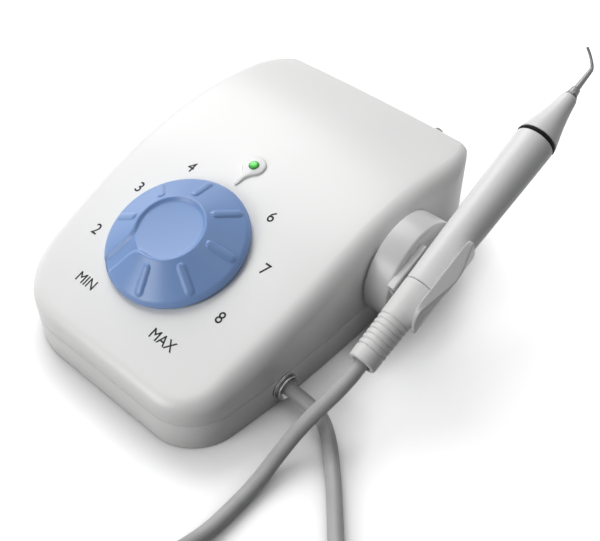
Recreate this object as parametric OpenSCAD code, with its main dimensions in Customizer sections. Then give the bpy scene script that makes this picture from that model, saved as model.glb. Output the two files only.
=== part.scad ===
// Table-top ultrasonic scaler with a swivelling handpiece holder.
// Millimetres, +X to the user's right, +Y to the back, +Z up, standing on z = 0.

/* [Case] */
// Length of the case from front to back
body_l = 176; // [165:0.5:190]
// Widest width of the case
body_w = 122.4; // [114:0.2:136]
// Height of the top's front edge before rounding
front_h = 24.7; // [24:0.1:30]
// Slope of the top at the dial, degrees
top_slope = 16.5; // [14:0.1:19]
// Distance from the back where the top starts to bend over
bend_from = 100.4; // [94:0.2:106]
// Radius of the bend that runs from there to the back
top_bend_r = 167; // [155:1:190]
// Rise of the top's middle over its two sides
crown = 1.2; // [0.6:0.1:1.8]
// Wall thickness of the mouldings
wall = 2.5; // [2:0.1:3]
// Height of the parting line
split_z = 15; // [14:0.1:15.4]
// Rounding of the top edge at the sides
edge_r = 8.4; // [7.5:0.1:8.6]
// Rounding of the top edge at the front
front_edge_r = 5; // [4:0.1:7]
// Rounding of the top edge at the back
rear_edge_r = 4; // [3.5:0.1:5]
// How far the front wall stands before the line that distances from the front are counted from
chin = 1.4; // [0:0.1:2]
// Radius of the front right corner in plan
corner_r = 22; // [16:0.5:26]
// Radius of the front left corner in plan
left_corner_r = 34; // [26:0.5:36]
// Radius of the rear corners in plan
rear_corner_r = 7; // [6.5:0.1:10]
// Radius of the bowed right side towards the front
side_front_r = 500; // [400:1:600]
// Radius of the bowed left side towards the front
left_front_r = 357; // [300:1:450]
// Radius of the sides towards the back
side_rear_r = 50; // [46:1:60]
// Distance from the front where the straight stretch of the sides begins
straight_from = 82.7; // [78:0.1:88]
// Distance from the back where the straight stretch of the sides ends
straight_to = 31.2; // [26:0.1:34]
// Height of the rubber feet
foot_h = 2; // [1.6:0.1:4]
// Diameter of the rubber feet
foot_d = 14; // [10:0.5:18]

/* [Dial and indicator] */
// Diameter of the power dial
dial_d = 61; // [54:0.5:64]
// Height of the dial's crest over the case
dial_h = 12; // [11:0.1:14]
// Diameter of the dish in the dial
dish_d = 29; // [25:0.5:32]
// Depth of the dish
dish_depth = 1.6; // [1.2:0.1:2]
// Distance of the dial's axis from the front
dial_from_front = 51.6; // [49:0.2:58]
// Sideways place of the dial's axis
dial_x = -3.2; // [-6:0.1:3]
// Running gap between the dial's rim and the case
dial_gap = 0.8; // [0.6:0.1:1.2]
// Number of places round the dial, one of them the pointer
dial_places = 8; // [6:1:10]
// Angle of the pointer at MIN, seen from above, degrees from the right
pointer_angle = 237.3; // [230:0.1:245]
// Width of the pointer channel
pointer_w = 6.6; // [5:0.1:7.5]
// Length of the raised bars
bar_l = 11.6; // [10:0.1:12]
// Width of the raised bars
bar_w = 3.6; // [2.6:0.1:4]
// Diameter of the control's shaft
shaft_d = 6; // [5:0.1:6.3]
// Distance of the indicator from the front
led_from_front = 96.4; // [92:0.2:104]
// Diameter of the indicator's lens
led_d = 4.4; // [3:0.1:5]
// Diameter of the indicator's bezel
bezel_d = 10.6; // [8:0.1:11.4]
// Length of the bezel's tail, from the lens to its tip
bezel_tail = 12; // [10:0.1:13]

/* [Handpiece holder] */
// Distance of the swivel's axis from the front
pivot_from_front = 113; // [108:0.5:118]
// Height of the swivel's axis
pivot_z = 29; // [28.5:0.1:31]
// Diameter of the holder's disc
disc_d = 46; // [40:0.5:48]
// Thickness of the disc
disc_t = 11.5; // [10.5:0.1:14]
// Gap between the case and the disc, filled by the friction ring
disc_gap = 0.8; // [0.8:0.1:1.6]
// Diameter of the swivel's shank
pivot_d = 8; // [6:0.1:9]
// Half of the cradle's clear width
cradle_half = 7.9; // [7.8:0.1:9]
// Wall of the cradle
cradle_wall = 2.6; // [2:0.1:3.2]
// Height of the inner jaw over the handpiece's axis
inner_rise = 2; // [1:0.1:4]
// Height of the outer jaw over the handpiece's axis
jaw_rise = 11.6; // [9.5:0.1:13]
// Widest width of the outer jaw's sloping rim
jaw_reach = 4.9; // [4:0.1:5.6]
// Tilt of the handpiece at rest, nose up, degrees
pitch = 21; // [18:0.5:23]
// Height of the handpiece's axis over the swivel's axis, square to the handpiece
axis_rise = 16.5; // [15.5:0.1:18]
// Distance of the connector's rear end behind the swivel's axis
axis_back = 48.6; // [47:0.1:50]

/* [Handpiece] */
// Diameter of the connector's rear end
connector_d = 11.8; // [11:0.1:13]
// Length of the connector
connector_l = 37.7; // [37:0.1:44]
// Number of grip grooves on the connector
groove_count = 6; // [4:1:8]
// Distance from groove to groove
groove_pitch = 2.9; // [2.4:0.1:3]
// Diameter at the joint of connector and handpiece
joint_d = 13.6; // [13.2:0.1:14.4]
// Diameter of the handpiece's thick end
grip_d = 17.3; // [16.8:0.1:18.5]
// Length of the sleeve
sleeve_l = 77.2; // [74:0.2:90]
// Length of the nose cone
nose_l = 23.4; // [21:0.2:28]
// Diameter of the nose's end
nose_d = 6; // [5.8:0.1:7]
// Section of the black ring behind the nose
ring_d = 1.8; // [1.4:0.1:2.2]
// Length of the plug inside the handpiece
plug_l = 12; // [9:0.5:13]
// Diameter of the plug
plug_d = 9; // [8:0.1:9.4]
// Diameter of the transducer
stack_d = 11.4; // [10:0.1:11.6]
// Straight length of the tip in front of its collar
tip_straight = 10.2; // [6:0.1:12]
// Bend radius of the tip
tip_bend_r = 3.1; // [2:0.1:6]
// Bend of the tip, degrees
tip_bend = 50; // [35:1:70]
// Length of the tip past its bend
tip_end = 7.6; // [5:0.1:10]
// Bow of that length, degrees
tip_curl = 22; // [5:1:40]
// Turn of the tip about the handpiece, towards the case, degrees
tip_turn = 45; // [0:1:60]
// Diameter of the tip's shank at its collar
tip_d = 2.2; // [1.8:0.1:2.6]
// Diameter of the tip at its end
tip_point_d = 0.8; // [0.6:0.1:1.2]

/* [Cord and sockets] */
// Diameter of the cord
cord_d = 6; // [5:0.1:6.4]
// Distance of the gland from the front
gland_from_front = 45; // [42:0.5:48]
// Height of the gland's axis
gland_z = 8.7; // [8.5:0.1:8.8]
// Diameter of the gland's flange
gland_d = 12.4; // [11:0.1:12.6]
// Inner radius of the coil, to the middle of the cord
coil_in_r = 24.5; // [24:0.1:30]
// Step from turn to turn and from layer to layer
coil_step = 6.6; // [6.5:0.1:7.5]
// Diameter of the foot switch's jack
jack_d = 6.4; // [6:0.1:6.6]
// Outside diameter of the water spigot
spigot_d = 6; // [5:0.1:7]
// Width of the circuit board
board_w = 78; // [70:1:80]
// Length of the circuit board
board_l = 92; // [84:1:96]

/* [Hidden] */
$fn = 64;

// The part's origin lies under the middle of the case and handpiece together
unit_shift = [-16.5, -18, 0];
// Gap of a fit between pieces that stay together
fit_gap = 0.1;
// Radial gap of a turning fit
turn_gap = 0.05;
// Gap between pieces that move past each other
clear_gap = 0.3;
// Overlap that fuses two shapes of one moulding
fuse = 0.5;
// Overshoot of a cut past a face
cut = 1;

half_w = body_w / 2;
front_y = -body_l / 2;
back_y = body_l / 2;
bend_y = back_y - bend_from;
side_y0 = front_y + straight_from;
side_y1 = back_y - straight_to;
dial_y = front_y + dial_from_front;
led_y = front_y + led_from_front;
pivot_y = front_y + pivot_from_front;
gland_y = front_y + gland_from_front;

// Shape of the case

// Height of the top surface over a point of the plan
function top_z(x, y) = front_h + tan(top_slope) * (y - front_y)
  - pow(max(0, y - bend_y), 2) / (2 * top_bend_r) + crown * (0.5 - pow(x / half_w, 2));
// Slope of the top surface along Y, degrees
function slope_at(y) = atan(tan(top_slope) - max(0, y - bend_y) / top_bend_r);
nose_y = front_y - chin;
function eased(t) = let (u = min(1, max(0, t))) u * u * (3 - 2 * u);
// Rounding of the top edge, smaller towards the front and the back
front_reach = 26;
function edge_at(y) = edge_r + (rear_edge_r - edge_r) * eased((y - side_y1) / (back_y - side_y1))
  + (front_edge_r - edge_r) * eased((nose_y + front_reach - y) / front_reach);

// Centre of a front corner of radius r that meets a side of radius bow
function front_centre(r, bow) = let (y = nose_y + r)
  [half_w - bow + sqrt(pow(bow - r, 2) - pow(y - side_y0, 2)), y];
front_c = front_centre(corner_r, side_front_r);
rear_c = let (y = back_y - rear_corner_r) [
  half_w - side_rear_r + sqrt(pow(side_rear_r - rear_corner_r, 2) - pow(y - side_y1, 2)), y];
rear_a = atan2(rear_c.y - side_y1, rear_c.x - half_w + side_rear_r);
corner_steps = 8;
bow_steps = 6;
straight_steps = 5;
rear_steps = 5;
rear_corner_steps = 4;
// Arcs of one half of the plan: centre x and y, radius and angle of each station
function side_stations(r, bow) = let (c = front_centre(r, bow),
  a = atan2(c.y - side_y0, c.x - half_w + bow)) concat(
  [for (i = [0:corner_steps]) [c.x, c.y, r, -90 + (a + 90) * i / corner_steps]],
  [for (i = [1:bow_steps]) [half_w - bow, side_y0, bow, a * (1 - i / bow_steps)]],
  [for (i = [1:straight_steps - 1])
    [half_w - side_rear_r, side_y0 + (side_y1 - side_y0) * i / straight_steps, side_rear_r, 0]],
  [for (i = [0:rear_steps]) [half_w - side_rear_r, side_y1, side_rear_r, rear_a * i / rear_steps]],
  [for (i = [1:rear_corner_steps])
    [rear_c.x, rear_c.y, rear_corner_r, rear_a + (90 - rear_a) * i / rear_corner_steps]]
);
right_stations = side_stations(corner_r, side_front_r);
left_stations = side_stations(left_corner_r, left_front_r);
station_n = len(right_stations);
columns = 8;
ring_n = 2 * station_n + 2 * (columns - 1);

// Point of a station moved inwards by d
function inset_point(s, d) = [s[0] + (s[2] - d) * cos(s[3]), s[1] + (s[2] - d) * sin(s[3])];
// Half of the plan moved inwards, with a rounding of share k of the edge radius
function half_plan(half, d, k) = [for (s = half)
  let (y = s[1] + s[2] * sin(s[3])) inset_point(s, d + k * max(1, edge_at(y) - d))];
function between(a, b, m) = a + (b - a) * m / columns;
function mirrored(p) = [-p.x, p.y];
// Closed ring round the case, with the points that the front and back edges need
function ring(d, k) = let (h = half_plan(right_stations, d, k),
  g = [for (p = half_plan(left_stations, d, k)) mirrored(p)], e = station_n - 1) concat(
  h,
  [for (m = [1:columns - 1]) between(h[e], g[e], m)],
  [for (i = [e:-1:0]) g[i]],
  [for (m = [1:columns - 1]) between(g[0], h[0], m)]
);
// Ring lifted to the top surface, at angle a of the edge's rounding and d inside the skin
function top_ring(d, a) = [for (p = ring(d, 1 - cos(a)))
  [p.x, p.y, top_z(p.x, p.y) - d - max(1, edge_at(p.y) - d) * (1 - sin(a))]];
function flat_ring(d, z) = [for (p = ring(d, 0)) [p.x, p.y, z]];
// Inner points of the roof, between its left and right edges
function roof_points(d) = let (h = half_plan(right_stations, d, 1), g = half_plan(left_stations, d, 1))
  [for (j = [1:station_n - 2]) for (m = [1:columns - 1])
    let (p = between(mirrored(g[j]), h[j], m)) [p.x, p.y, top_z(p.x, p.y) - d]];
// Index of a roof point, by row and column, in a skin whose last ring starts at r0
function roof_i(j, c, r0, e0) =
  c == 0 ? r0 + station_n + columns - 1 + station_n - 1 - j
  : c == columns ? r0 + j
  : j == 0 ? r0 + 2 * station_n + columns - 1 + c - 1
  : j == station_n - 1 ? r0 + station_n + columns - 1 - c
  : e0 + (j - 1) * (columns - 1) + c - 1;
function two(a, b, c, d) = [[a, b, c], [a, c, d]];
function flip(faces) = [for (f = faces) [f[2], f[1], f[0]]];
// Faces between two rings, the lower starting at a and the upper at b
function band(a, b, n) = [for (i = [0:n - 1]) let (k = (i + 1) % n)
  each two(a + i, b + i, b + k, a + k)];
function roof(r0, e0) = [for (j = [0:station_n - 2]) for (c = [0:columns - 1])
  each two(roof_i(j, c, r0, e0), roof_i(j + 1, c, r0, e0), roof_i(j + 1, c + 1, r0, e0),
    roof_i(j, c + 1, r0, e0))];
// Points and faces of one skin, closed at the top and open at the bottom
function skin_points(d, steps) = concat(
  flat_ring(d, split_z),
  [for (i = [0:steps]) each top_ring(d, 90 * i / steps)],
  roof_points(d)
);
function skin_faces(o, steps) = concat(
  [for (i = [0:steps]) each band(o + i * ring_n, o + (i + 1) * ring_n, ring_n)],
  roof(o + (steps + 1) * ring_n, o + (steps + 2) * ring_n)
);

// Hollow moulding of the top, as one closed skin inside and out
module cover_shell() {
  outer_steps = 5;
  inner_steps = 3;
  outer = skin_points(0, outer_steps);
  inner = skin_points(wall, inner_steps);
  n = len(outer);
  polyhedron(concat(outer, inner), concat(
    skin_faces(0, outer_steps), flip(skin_faces(n, inner_steps)), band(n, 0, ring_n)));
}

// Flat slice of the case, d inside its outer wall
module plan_slice(z0, z1, d) {
  translate([0, 0, z0]) linear_extrude(z1 - z0) polygon(ring(d, 0));
}

// Frames that pieces are placed in

module on_top(x, y) {
  translate([x, y, top_z(x, y)]) rotate([slope_at(y), 0, 0]) children();
}
module on_dial() {
  on_top(dial_x, dial_y) children();
}
module on_led() {
  on_top(dial_x, led_y) children();
}
// Along +X, from the outer face of the right wall at the swivel
module on_pivot() {
  translate([half_w, pivot_y, pivot_z]) rotate([0, 90, 0]) children();
}
disc_x0 = half_w + disc_gap;
disc_x1 = disc_x0 + disc_t;
hand_x = disc_x1 + cradle_wall + cradle_half;
rear_y = pivot_y - axis_back * cos(pitch) - axis_rise * sin(pitch);
rear_z = pivot_z - axis_back * sin(pitch) + axis_rise * cos(pitch);
// Along the handpiece, from the connector's rear end, with X to the right and Y down
module on_hand() {
  translate([hand_x, rear_y, rear_z]) rotate([pitch - 90, 0, 0]) children();
}
// Right wall at the gland
gland_wall_x = half_w - side_front_r
  + sqrt(pow(side_front_r, 2) - pow(side_y0 - gland_y, 2));
module on_gland() {
  translate([gland_wall_x, gland_y, gland_z]) rotate([0, 90, 0]) children();
}

// Shared shapes

module tube(d, bore, h) {
  difference() {
    cylinder(d = d, h = h);
    translate([0, 0, -cut]) cylinder(d = bore, h = h + 2 * cut);
  }
}
// Flat bar with round ends, along X
module slot_2d(l, w) {
  square([l - w, w], center = true);
  for (s = [-1, 1]) translate([s * (l - w) / 2, 0]) circle(d = w);
}
// Pan-head screw, head below z = 0 and shank above it
module screw(d, head_d, head_h, l) {
  cylinder(d = d, h = l);
  translate([0, 0, -head_h]) cylinder(d = head_d, h = head_h);
}

// Round tube swept along points, with a diameter at each of them
function unit3(v) = v / norm(v);
function tangent(p, i) = unit3(p[min(i + 1, len(p) - 1)] - p[max(i - 1, 0)]);
function tube_ring(p, i, r, sides) =
  let (t = tangent(p, i), u = unit3(cross(t, [0, 0, 1])), v = cross(u, t))
  [for (k = [0:sides - 1]) p[i] + r * (cos(360 * k / sides) * u + sin(360 * k / sides) * v)];
module sweep(p, radii, sides) {
  n = len(p);
  ends = [for (k = [1:sides - 2]) [0, k, k + 1]];
  polyhedron(
    [for (i = [0:n - 1]) each tube_ring(p, i, radii[i], sides)],
    concat(
      flip(ends),
      [for (i = [0:n - 2]) each flip(band(i * sides, (i + 1) * sides, sides))],
      [for (f = ends) [for (k = f) k + (n - 1) * sides]]
    )
  );
}
function same(r, p) = [for (q = p) r];
function reversed(list) = [for (i = [len(list) - 1:-1:0]) list[i]];

// Case

boss_d = 8;
screw_d = 3;
screw_head_d = 5.6;
screw_head_h = 2;
screw_l = 14;
boss_top = split_z - 3;
boss_in = 9;
// Distance of the feet from the line of the bosses' inset, front and back
foot_in = 22;
boss_points = [
  for (s = [-1, 1]) [s * (front_c.x + corner_r - boss_in - 7), front_y + boss_in + 7],
  for (s = [-1, 1]) [s * (rear_c.x - 1), back_y - boss_in - 5]
];
foot_points = [
  for (s = [-1, 1]) [s * (front_c.x - 4), front_y + boss_in + foot_in],
  for (s = [-1, 1]) [s * (rear_c.x - 10), back_y - boss_in - foot_in]
];
floor_z = foot_h + wall;
groove_h = 0.4;
groove_in = 0.4;
skirt_z = 0.6;
skirt_t = 2;
lip_h = 2;
lip_t = 1.2;
panel_w = 78;
panel_h = 22;
panel_t = 2;
panel_z = split_z + lip_h + 2 * clear_gap + panel_h / 2;
panel_edge = 3;
panel_y = back_y - wall;
socket_in = 14;
socket_x = panel_w / 2 - socket_in;
bush_d = 7;
pivot_boss_d = 18;
pivot_boss_h = 3;

module top_cover() {
  color("whitesmoke") difference() {
    union() {
      cover_shell();
      for (p = boss_points)
        translate([p.x, p.y, boss_top])
          cylinder(d = boss_d, h = top_z(p.x, p.y) - wall - boss_top + 2 * fuse);
      on_pivot() translate([0, 0, -wall - pivot_boss_h])
        cylinder(d = pivot_boss_d, h = pivot_boss_h + fuse);
    }
    for (p = boss_points)
      translate([p.x, p.y, boss_top - cut]) cylinder(d = screw_d + fit_gap, h = screw_l);
    on_pivot() translate([0, 0, -wall - pivot_boss_h - cut])
      cylinder(d = pivot_d + 2 * turn_gap, h = wall + pivot_boss_h + 2 * cut);
    on_dial() translate([0, 0, -3 * wall]) cylinder(d = bush_d + 4 * fit_gap, h = 6 * wall);
    on_led() translate([0, 0, -3 * wall]) cylinder(d = led_d + 4 * fit_gap, h = 6 * wall);
    translate([-panel_w / 2 + panel_edge, panel_y - cut, panel_z - panel_h / 2 + panel_edge])
      cube([panel_w - 2 * panel_edge, wall + 2 * cut, panel_h - 2 * panel_edge]);
  }
}

board_z = 9;
board_t = 1.6;
board_y = 12;
standoff_d = 6;
board_hole_in = 4;
board_points = [for (sx = [-1, 1]) for (sy = [-1, 1])
  [sx * (board_w / 2 - board_hole_in), board_y + sy * (board_l / 2 - board_hole_in)]];
gland_flange_t = 3.8;
gland_mouth = 1.8;
gland_seat = 1.2;
gland_thread_d = 6.6;
gland_end_x = gland_wall_x - gland_seat + gland_flange_t - gland_mouth + fit_gap;

module base_tray() {
  color("gainsboro") difference() {
    union() {
      difference() {
        union() {
          plan_slice(skirt_z, split_z - groove_h, 0);
          plan_slice(split_z - groove_h, split_z, groove_in);
          plan_slice(split_z - groove_h, split_z + lip_h, wall + fit_gap);
        }
        plan_slice(skirt_z - cut, foot_h, skirt_t);
        plan_slice(floor_z, split_z - lip_h, wall);
        plan_slice(split_z - lip_h - fuse, split_z + lip_h + cut, wall + lip_t + fit_gap);
      }
      for (p = boss_points)
        translate([p.x, p.y, floor_z - fuse]) cylinder(d = boss_d, h = boss_top - floor_z + fuse);
      for (p = board_points)
        translate([p.x, p.y, floor_z - fuse]) cylinder(d = standoff_d, h = board_z - floor_z + fuse);
      translate([gland_wall_x - gland_seat - wall, gland_y - gland_d / 2 - 1, floor_z - fuse])
        cube([wall, gland_d + 2, split_z - groove_h - floor_z]);
    }
    for (p = boss_points) {
      translate([p.x, p.y, foot_h - cut])
        cylinder(d = screw_head_d + 6 * fit_gap, h = screw_head_h + cut + fuse);
      translate([p.x, p.y, foot_h]) cylinder(d = screw_d + 4 * fit_gap, h = boss_top);
    }
    for (p = board_points)
      translate([p.x, p.y, floor_z]) cylinder(d = screw_d - fit_gap, h = board_z);
    on_gland() {
      translate([0, 0, -gland_seat]) cylinder(d = gland_d + 4 * fit_gap, h = gland_seat + 3);
      translate([0, 0, -4 * wall]) cylinder(d = gland_thread_d + 2 * fit_gap, h = 6 * wall);
    }
  }
}

module rubber_feet() {
  color("dimgray") for (p = foot_points) translate([p.x, p.y, 0])
    rotate_extrude() polygon([[0, 0], [foot_d / 2 - 1, 0], [foot_d / 2, foot_h / 2],
      [foot_d / 2, foot_h], [0, foot_h]]);
}

module case_screws() {
  color("silver") for (p = boss_points)
    translate([p.x, p.y, foot_h + screw_head_h + fuse])
      screw(screw_d, screw_head_d, screw_head_h, screw_l - 4);
}

// Rear panel with its sockets

module on_panel(x) {
  translate([x, panel_y, panel_z]) rotate([-90, 0, 0]) children();
}
socket_d = 11;
jack_thread_d = 9.5;
jack_l = 14;
inlet_thread_d = 8;
inlet_nut_h = 5;
spigot_l = 14;

module rear_panel() {
  color("lightgray") difference() {
    translate([-panel_w / 2, panel_y - panel_t, panel_z - panel_h / 2])
      cube([panel_w, panel_t, panel_h]);
    on_panel(-socket_x) translate([0, 0, -panel_t - cut])
      cylinder(d = socket_d + 2 * fit_gap, h = panel_t + 2 * cut);
    on_panel(0) translate([0, 0, -panel_t - cut])
      cylinder(d = jack_thread_d + 2 * fit_gap, h = panel_t + 2 * cut);
    on_panel(socket_x) translate([0, 0, -panel_t - cut])
      cylinder(d = inlet_thread_d + 2 * fit_gap, h = panel_t + 2 * cut);
  }
}

module power_socket() {
  flange_t = 1.6;
  color("black") on_panel(-socket_x) {
    difference() {
      union() {
        translate([0, 0, -12]) cylinder(d = socket_d, h = 12);
        cylinder(d = socket_d + 3, h = flange_t);
      }
      translate([0, 0, -9]) cylinder(d = 6, h = 9 + flange_t + cut);
    }
    translate([0, 0, -9 - fuse]) cylinder(d = 2, h = 8);
  }
}

module footswitch_socket() {
  nut_h = 2.4;
  color("black") on_panel(0) difference() {
    union() {
      translate([0, 0, -jack_l + nut_h]) cylinder(d = jack_thread_d, h = jack_l);
      translate([0, 0, -jack_l + nut_h]) cylinder(d = jack_thread_d + 4, h = jack_l - nut_h - panel_t);
      cylinder(d = jack_thread_d + 3.5, h = nut_h - fit_gap);
    }
    translate([0, 0, -jack_l + nut_h - cut]) cylinder(d = jack_d, h = jack_l + 2 * cut);
  }
}

module water_inlet() {
  color("silver") on_panel(socket_x) difference() {
    union() {
      translate([0, 0, -panel_t - 4]) cylinder(d = inlet_thread_d, h = panel_t + 4);
      cylinder(d = inlet_thread_d + 5, h = inlet_nut_h, $fn = 6);
      translate([0, 0, inlet_nut_h - fuse]) cylinder(d = spigot_d, h = spigot_l + fuse);
    }
    translate([0, 0, -panel_t - 4 - cut])
      cylinder(d = spigot_d - 2.4, h = panel_t + inlet_nut_h + spigot_l + 4 + 2 * cut);
  }
}

valve_l = 20;
valve_w = 18;
outlet_l = 5;
outlet_d = 4.4;

magnet_d = 15;
// Least gap between the valve's magnet and the roof over it
magnet_gap = 0.5;
// Steps of length that the magnet comes in
magnet_step = 1;
magnet_room = top_z(socket_x + magnet_d / 2, panel_y - panel_t - valve_l / 2 + magnet_d / 2) - wall
  - panel_z - valve_w / 2;
magnet_h = magnet_step * floor((magnet_room - magnet_gap) / magnet_step);

module solenoid_valve() {
  color("tan") on_panel(socket_x) translate([0, 0, -panel_t]) difference() {
    union() {
      translate([-valve_w / 2, -valve_w / 2, -valve_l]) cube([valve_w, valve_w, valve_l]);
      translate([0, -valve_w / 2 + fuse, -valve_l / 2]) rotate([90, 0, 0])
        cylinder(d = magnet_d, h = magnet_h + fuse);
      translate([0, 0, -valve_l - outlet_l]) cylinder(d = outlet_d, h = outlet_l + fuse);
    }
    translate([0, 0, -4 - fit_gap]) cylinder(d = inlet_thread_d + 2 * fit_gap, h = 4 + cut);
  }
}

line_d = 4;
// Gap between the hose and the edge of the board
line_gap = 4;
line_x = board_w / 2 + line_gap + line_d / 2;
line_route = [
  [socket_x, panel_y - panel_t - valve_l - outlet_l, panel_z],
  [socket_x, panel_y - panel_t - valve_l - outlet_l - line_d, panel_z],
  [socket_x + 4, 44, 25.4], [socket_x + 10, 34, 23], [line_x - 4, 22, 19],
  [line_x - 1, 8, 16], [line_x, -8, 13.6], [line_x - 1, -22, 11.4],
  [line_x - 2, -32, 9.8], [gland_wall_x - 14, gland_y + 3.4, gland_z + 0.4],
  [gland_wall_x - 11, gland_y + 0.3, gland_z], [gland_wall_x - 7.6, gland_y, gland_z]
];

module water_line() {
  color("aliceblue") sweep(line_route, same(line_d / 2, line_route), 8);
}

// Board and drive

// Parts on the board, each set off from the board's edges
chip = [14, 10, 2];
chip_in = [13, 10];
driver = [9, 9, 1.6];
driver_x = 8;
driver_in = 8;
header = [20, 7, 8];
header_in = [11, 5];
cap_d = 8;
cap_h = 11;
cap_pitch = 11;
cap_x = -4;
cap_in = 28;

module control_board() {
  color("seagreen") {
    difference() {
      translate([-board_w / 2, board_y - board_l / 2, board_z]) cube([board_w, board_l, board_t]);
      for (p = board_points)
        translate([p.x, p.y, board_z - cut]) cylinder(d = screw_d + 4 * fit_gap, h = board_t + 2 * cut);
    }
    translate([0, board_y, board_z + board_t - fuse]) {
      translate([-board_w / 2 + chip_in.x, -board_l / 2 + chip_in.y, 0])
        cube(chip + [0, 0, fuse]);
      translate([driver_x, -board_l / 2 + driver_in, 0]) cube(driver + [0, 0, fuse]);
      for (i = [0:2]) translate([cap_x + cap_pitch * i, -board_l / 2 + cap_in, 0])
        cylinder(d = cap_d, h = cap_h + fuse);
      translate([-board_w / 2 + header_in.x, board_l / 2 - header_in.y - header.y, 0])
        cube(header + [0, 0, fuse]);
    }
  }
}

module board_screws() {
  color("silver") for (p = board_points)
    translate([p.x, p.y, board_z + board_t]) mirror([0, 0, 1])
      screw(screw_d - 2 * fit_gap, screw_head_d, screw_head_h, board_z + board_t - floor_z - fit_gap);
}

core_w = 30;
core_h = 24;
core_t = 10;
yoke = 5;
leg = 8;
transformer_at = [-18, board_y + 18, board_z + board_t];

module transformer_core() {
  color("dimgray") translate(transformer_at) difference() {
    translate([-core_w / 2, -core_t / 2, 0]) cube([core_w, core_t, core_h]);
    for (s = [0, 1]) mirror([s, 0, 0])
      translate([leg / 2, -core_t / 2 - cut, yoke])
        cube([core_w / 2 - leg / 2 - yoke, core_t + 2 * cut, core_h - 2 * yoke]);
  }
}

module transformer_coil() {
  coil_w = core_w - 2 * yoke - 4 * fit_gap;
  coil_h = core_h - 2 * yoke - 4 * fit_gap;
  color("peru") translate(transformer_at + [0, 0, yoke + 2 * fit_gap]) difference() {
    translate([-coil_w / 2, -core_t, 0]) cube([coil_w, 2 * core_t, coil_h]);
    translate([-leg / 2 - fit_gap, -core_t / 2 - fit_gap, -cut])
      cube([leg + 2 * fit_gap, core_t + 2 * fit_gap, coil_h + 2 * cut]);
  }
}

module heat_sink() {
  fins = 6;
  fin_t = 1.6;
  fin_pitch = 4;
  sink_l = 28;
  sink_h = 18;
  plate_t = 3;
  color("lightsteelblue") translate([2, board_y + 2, board_z + board_t]) {
    cube([fins * fin_pitch, sink_l, plate_t]);
    for (i = [0:fins - 1])
      translate([i * fin_pitch + fin_t / 2, 0, plate_t - fuse]) cube([fin_t, sink_l, sink_h - plate_t]);
  }
}

// Power control and dial

pot_d = 16.5;
pot_h = 9;
pot_top = -wall;
nut_h = 2.2;
bush_top = nut_h + 1.4;
shaft_top = 9;
hub_d = 10;
hub_z = bush_top + 0.6;
rim_h = 2.8;
dial_wall = 2.2;
cone_r0 = dish_d / 2 + 1.2;
cone_r1 = dial_d / 2 - 0.8;
cone_z0 = dial_h - 0.4;
cone_z1 = dial_gap + rim_h;
cone_a = atan2(cone_z0 - cone_z1, cone_r1 - cone_r0);

module potentiometer() {
  color("darkgray") on_dial() difference() {
    union() {
      translate([0, 0, pot_top - pot_h]) cylinder(d = pot_d, h = pot_h);
      translate([0, 0, pot_top - fuse]) cylinder(d = bush_d, h = bush_top - pot_top + fuse);
      for (i = [-1:1]) translate([i * 5 - 0.8, -pot_d / 2 - 5, pot_top - 3]) cube([1.6, 7, 0.6]);
    }
    translate([0, 0, pot_top - pot_h + 2]) cylinder(d = shaft_d + 2 * turn_gap, h = pot_h + wall + 9);
  }
}

module potentiometer_nut() {
  color("silver") on_dial() translate([0, 0, fit_gap]) difference() {
    cylinder(d = bush_d + 4.5, h = nut_h, $fn = 6);
    translate([0, 0, -cut]) cylinder(d = bush_d + 2 * fit_gap, h = nut_h + 2 * cut);
  }
}

module dial_shaft() {
  flat_l = shaft_top - hub_z;
  color("silver") on_dial() difference() {
    translate([0, 0, pot_top - pot_h + 2.5])
      cylinder(d = shaft_d, h = shaft_top - pot_top + pot_h - 2.5);
    translate([shaft_d / 2 - 1, -shaft_d, hub_z]) cube([shaft_d, 2 * shaft_d, flat_l + cut]);
  }
}

// Section of the dial from the axis to the rim
module dial_section() {
  r = dial_d / 2;
  dish_r = 220;
  roof_z = dial_h - dish_depth - dial_wall;
  difference() {
    polygon([
      [0, hub_z], [hub_d / 2, hub_z], [hub_d / 2, roof_z], [cone_r0 - 1, roof_z],
      [r - dial_wall, cone_z1 - 1], [r - dial_wall, dial_gap], [r - 0.4, dial_gap],
      [r, dial_gap + 0.6], [r, cone_z1 - 1], [r - 0.25, cone_z1 - 0.4], [cone_r1, cone_z1],
      [cone_r0, cone_z0], [cone_r0 - 0.5, cone_z0 + 0.3], [cone_r0 - 1.2, dial_h],
      [dish_d / 2 - 1.6, dial_h - dish_depth * 0.55], [0, dial_h - dish_depth * 0.55]
    ]);
    intersection() {
      translate([0, dial_h - dish_depth + dish_r]) circle(r = dish_r, $fn = 360);
      square([dish_d / 2 - 1.6, 4 * dial_h]);
    }
  }
}

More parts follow.
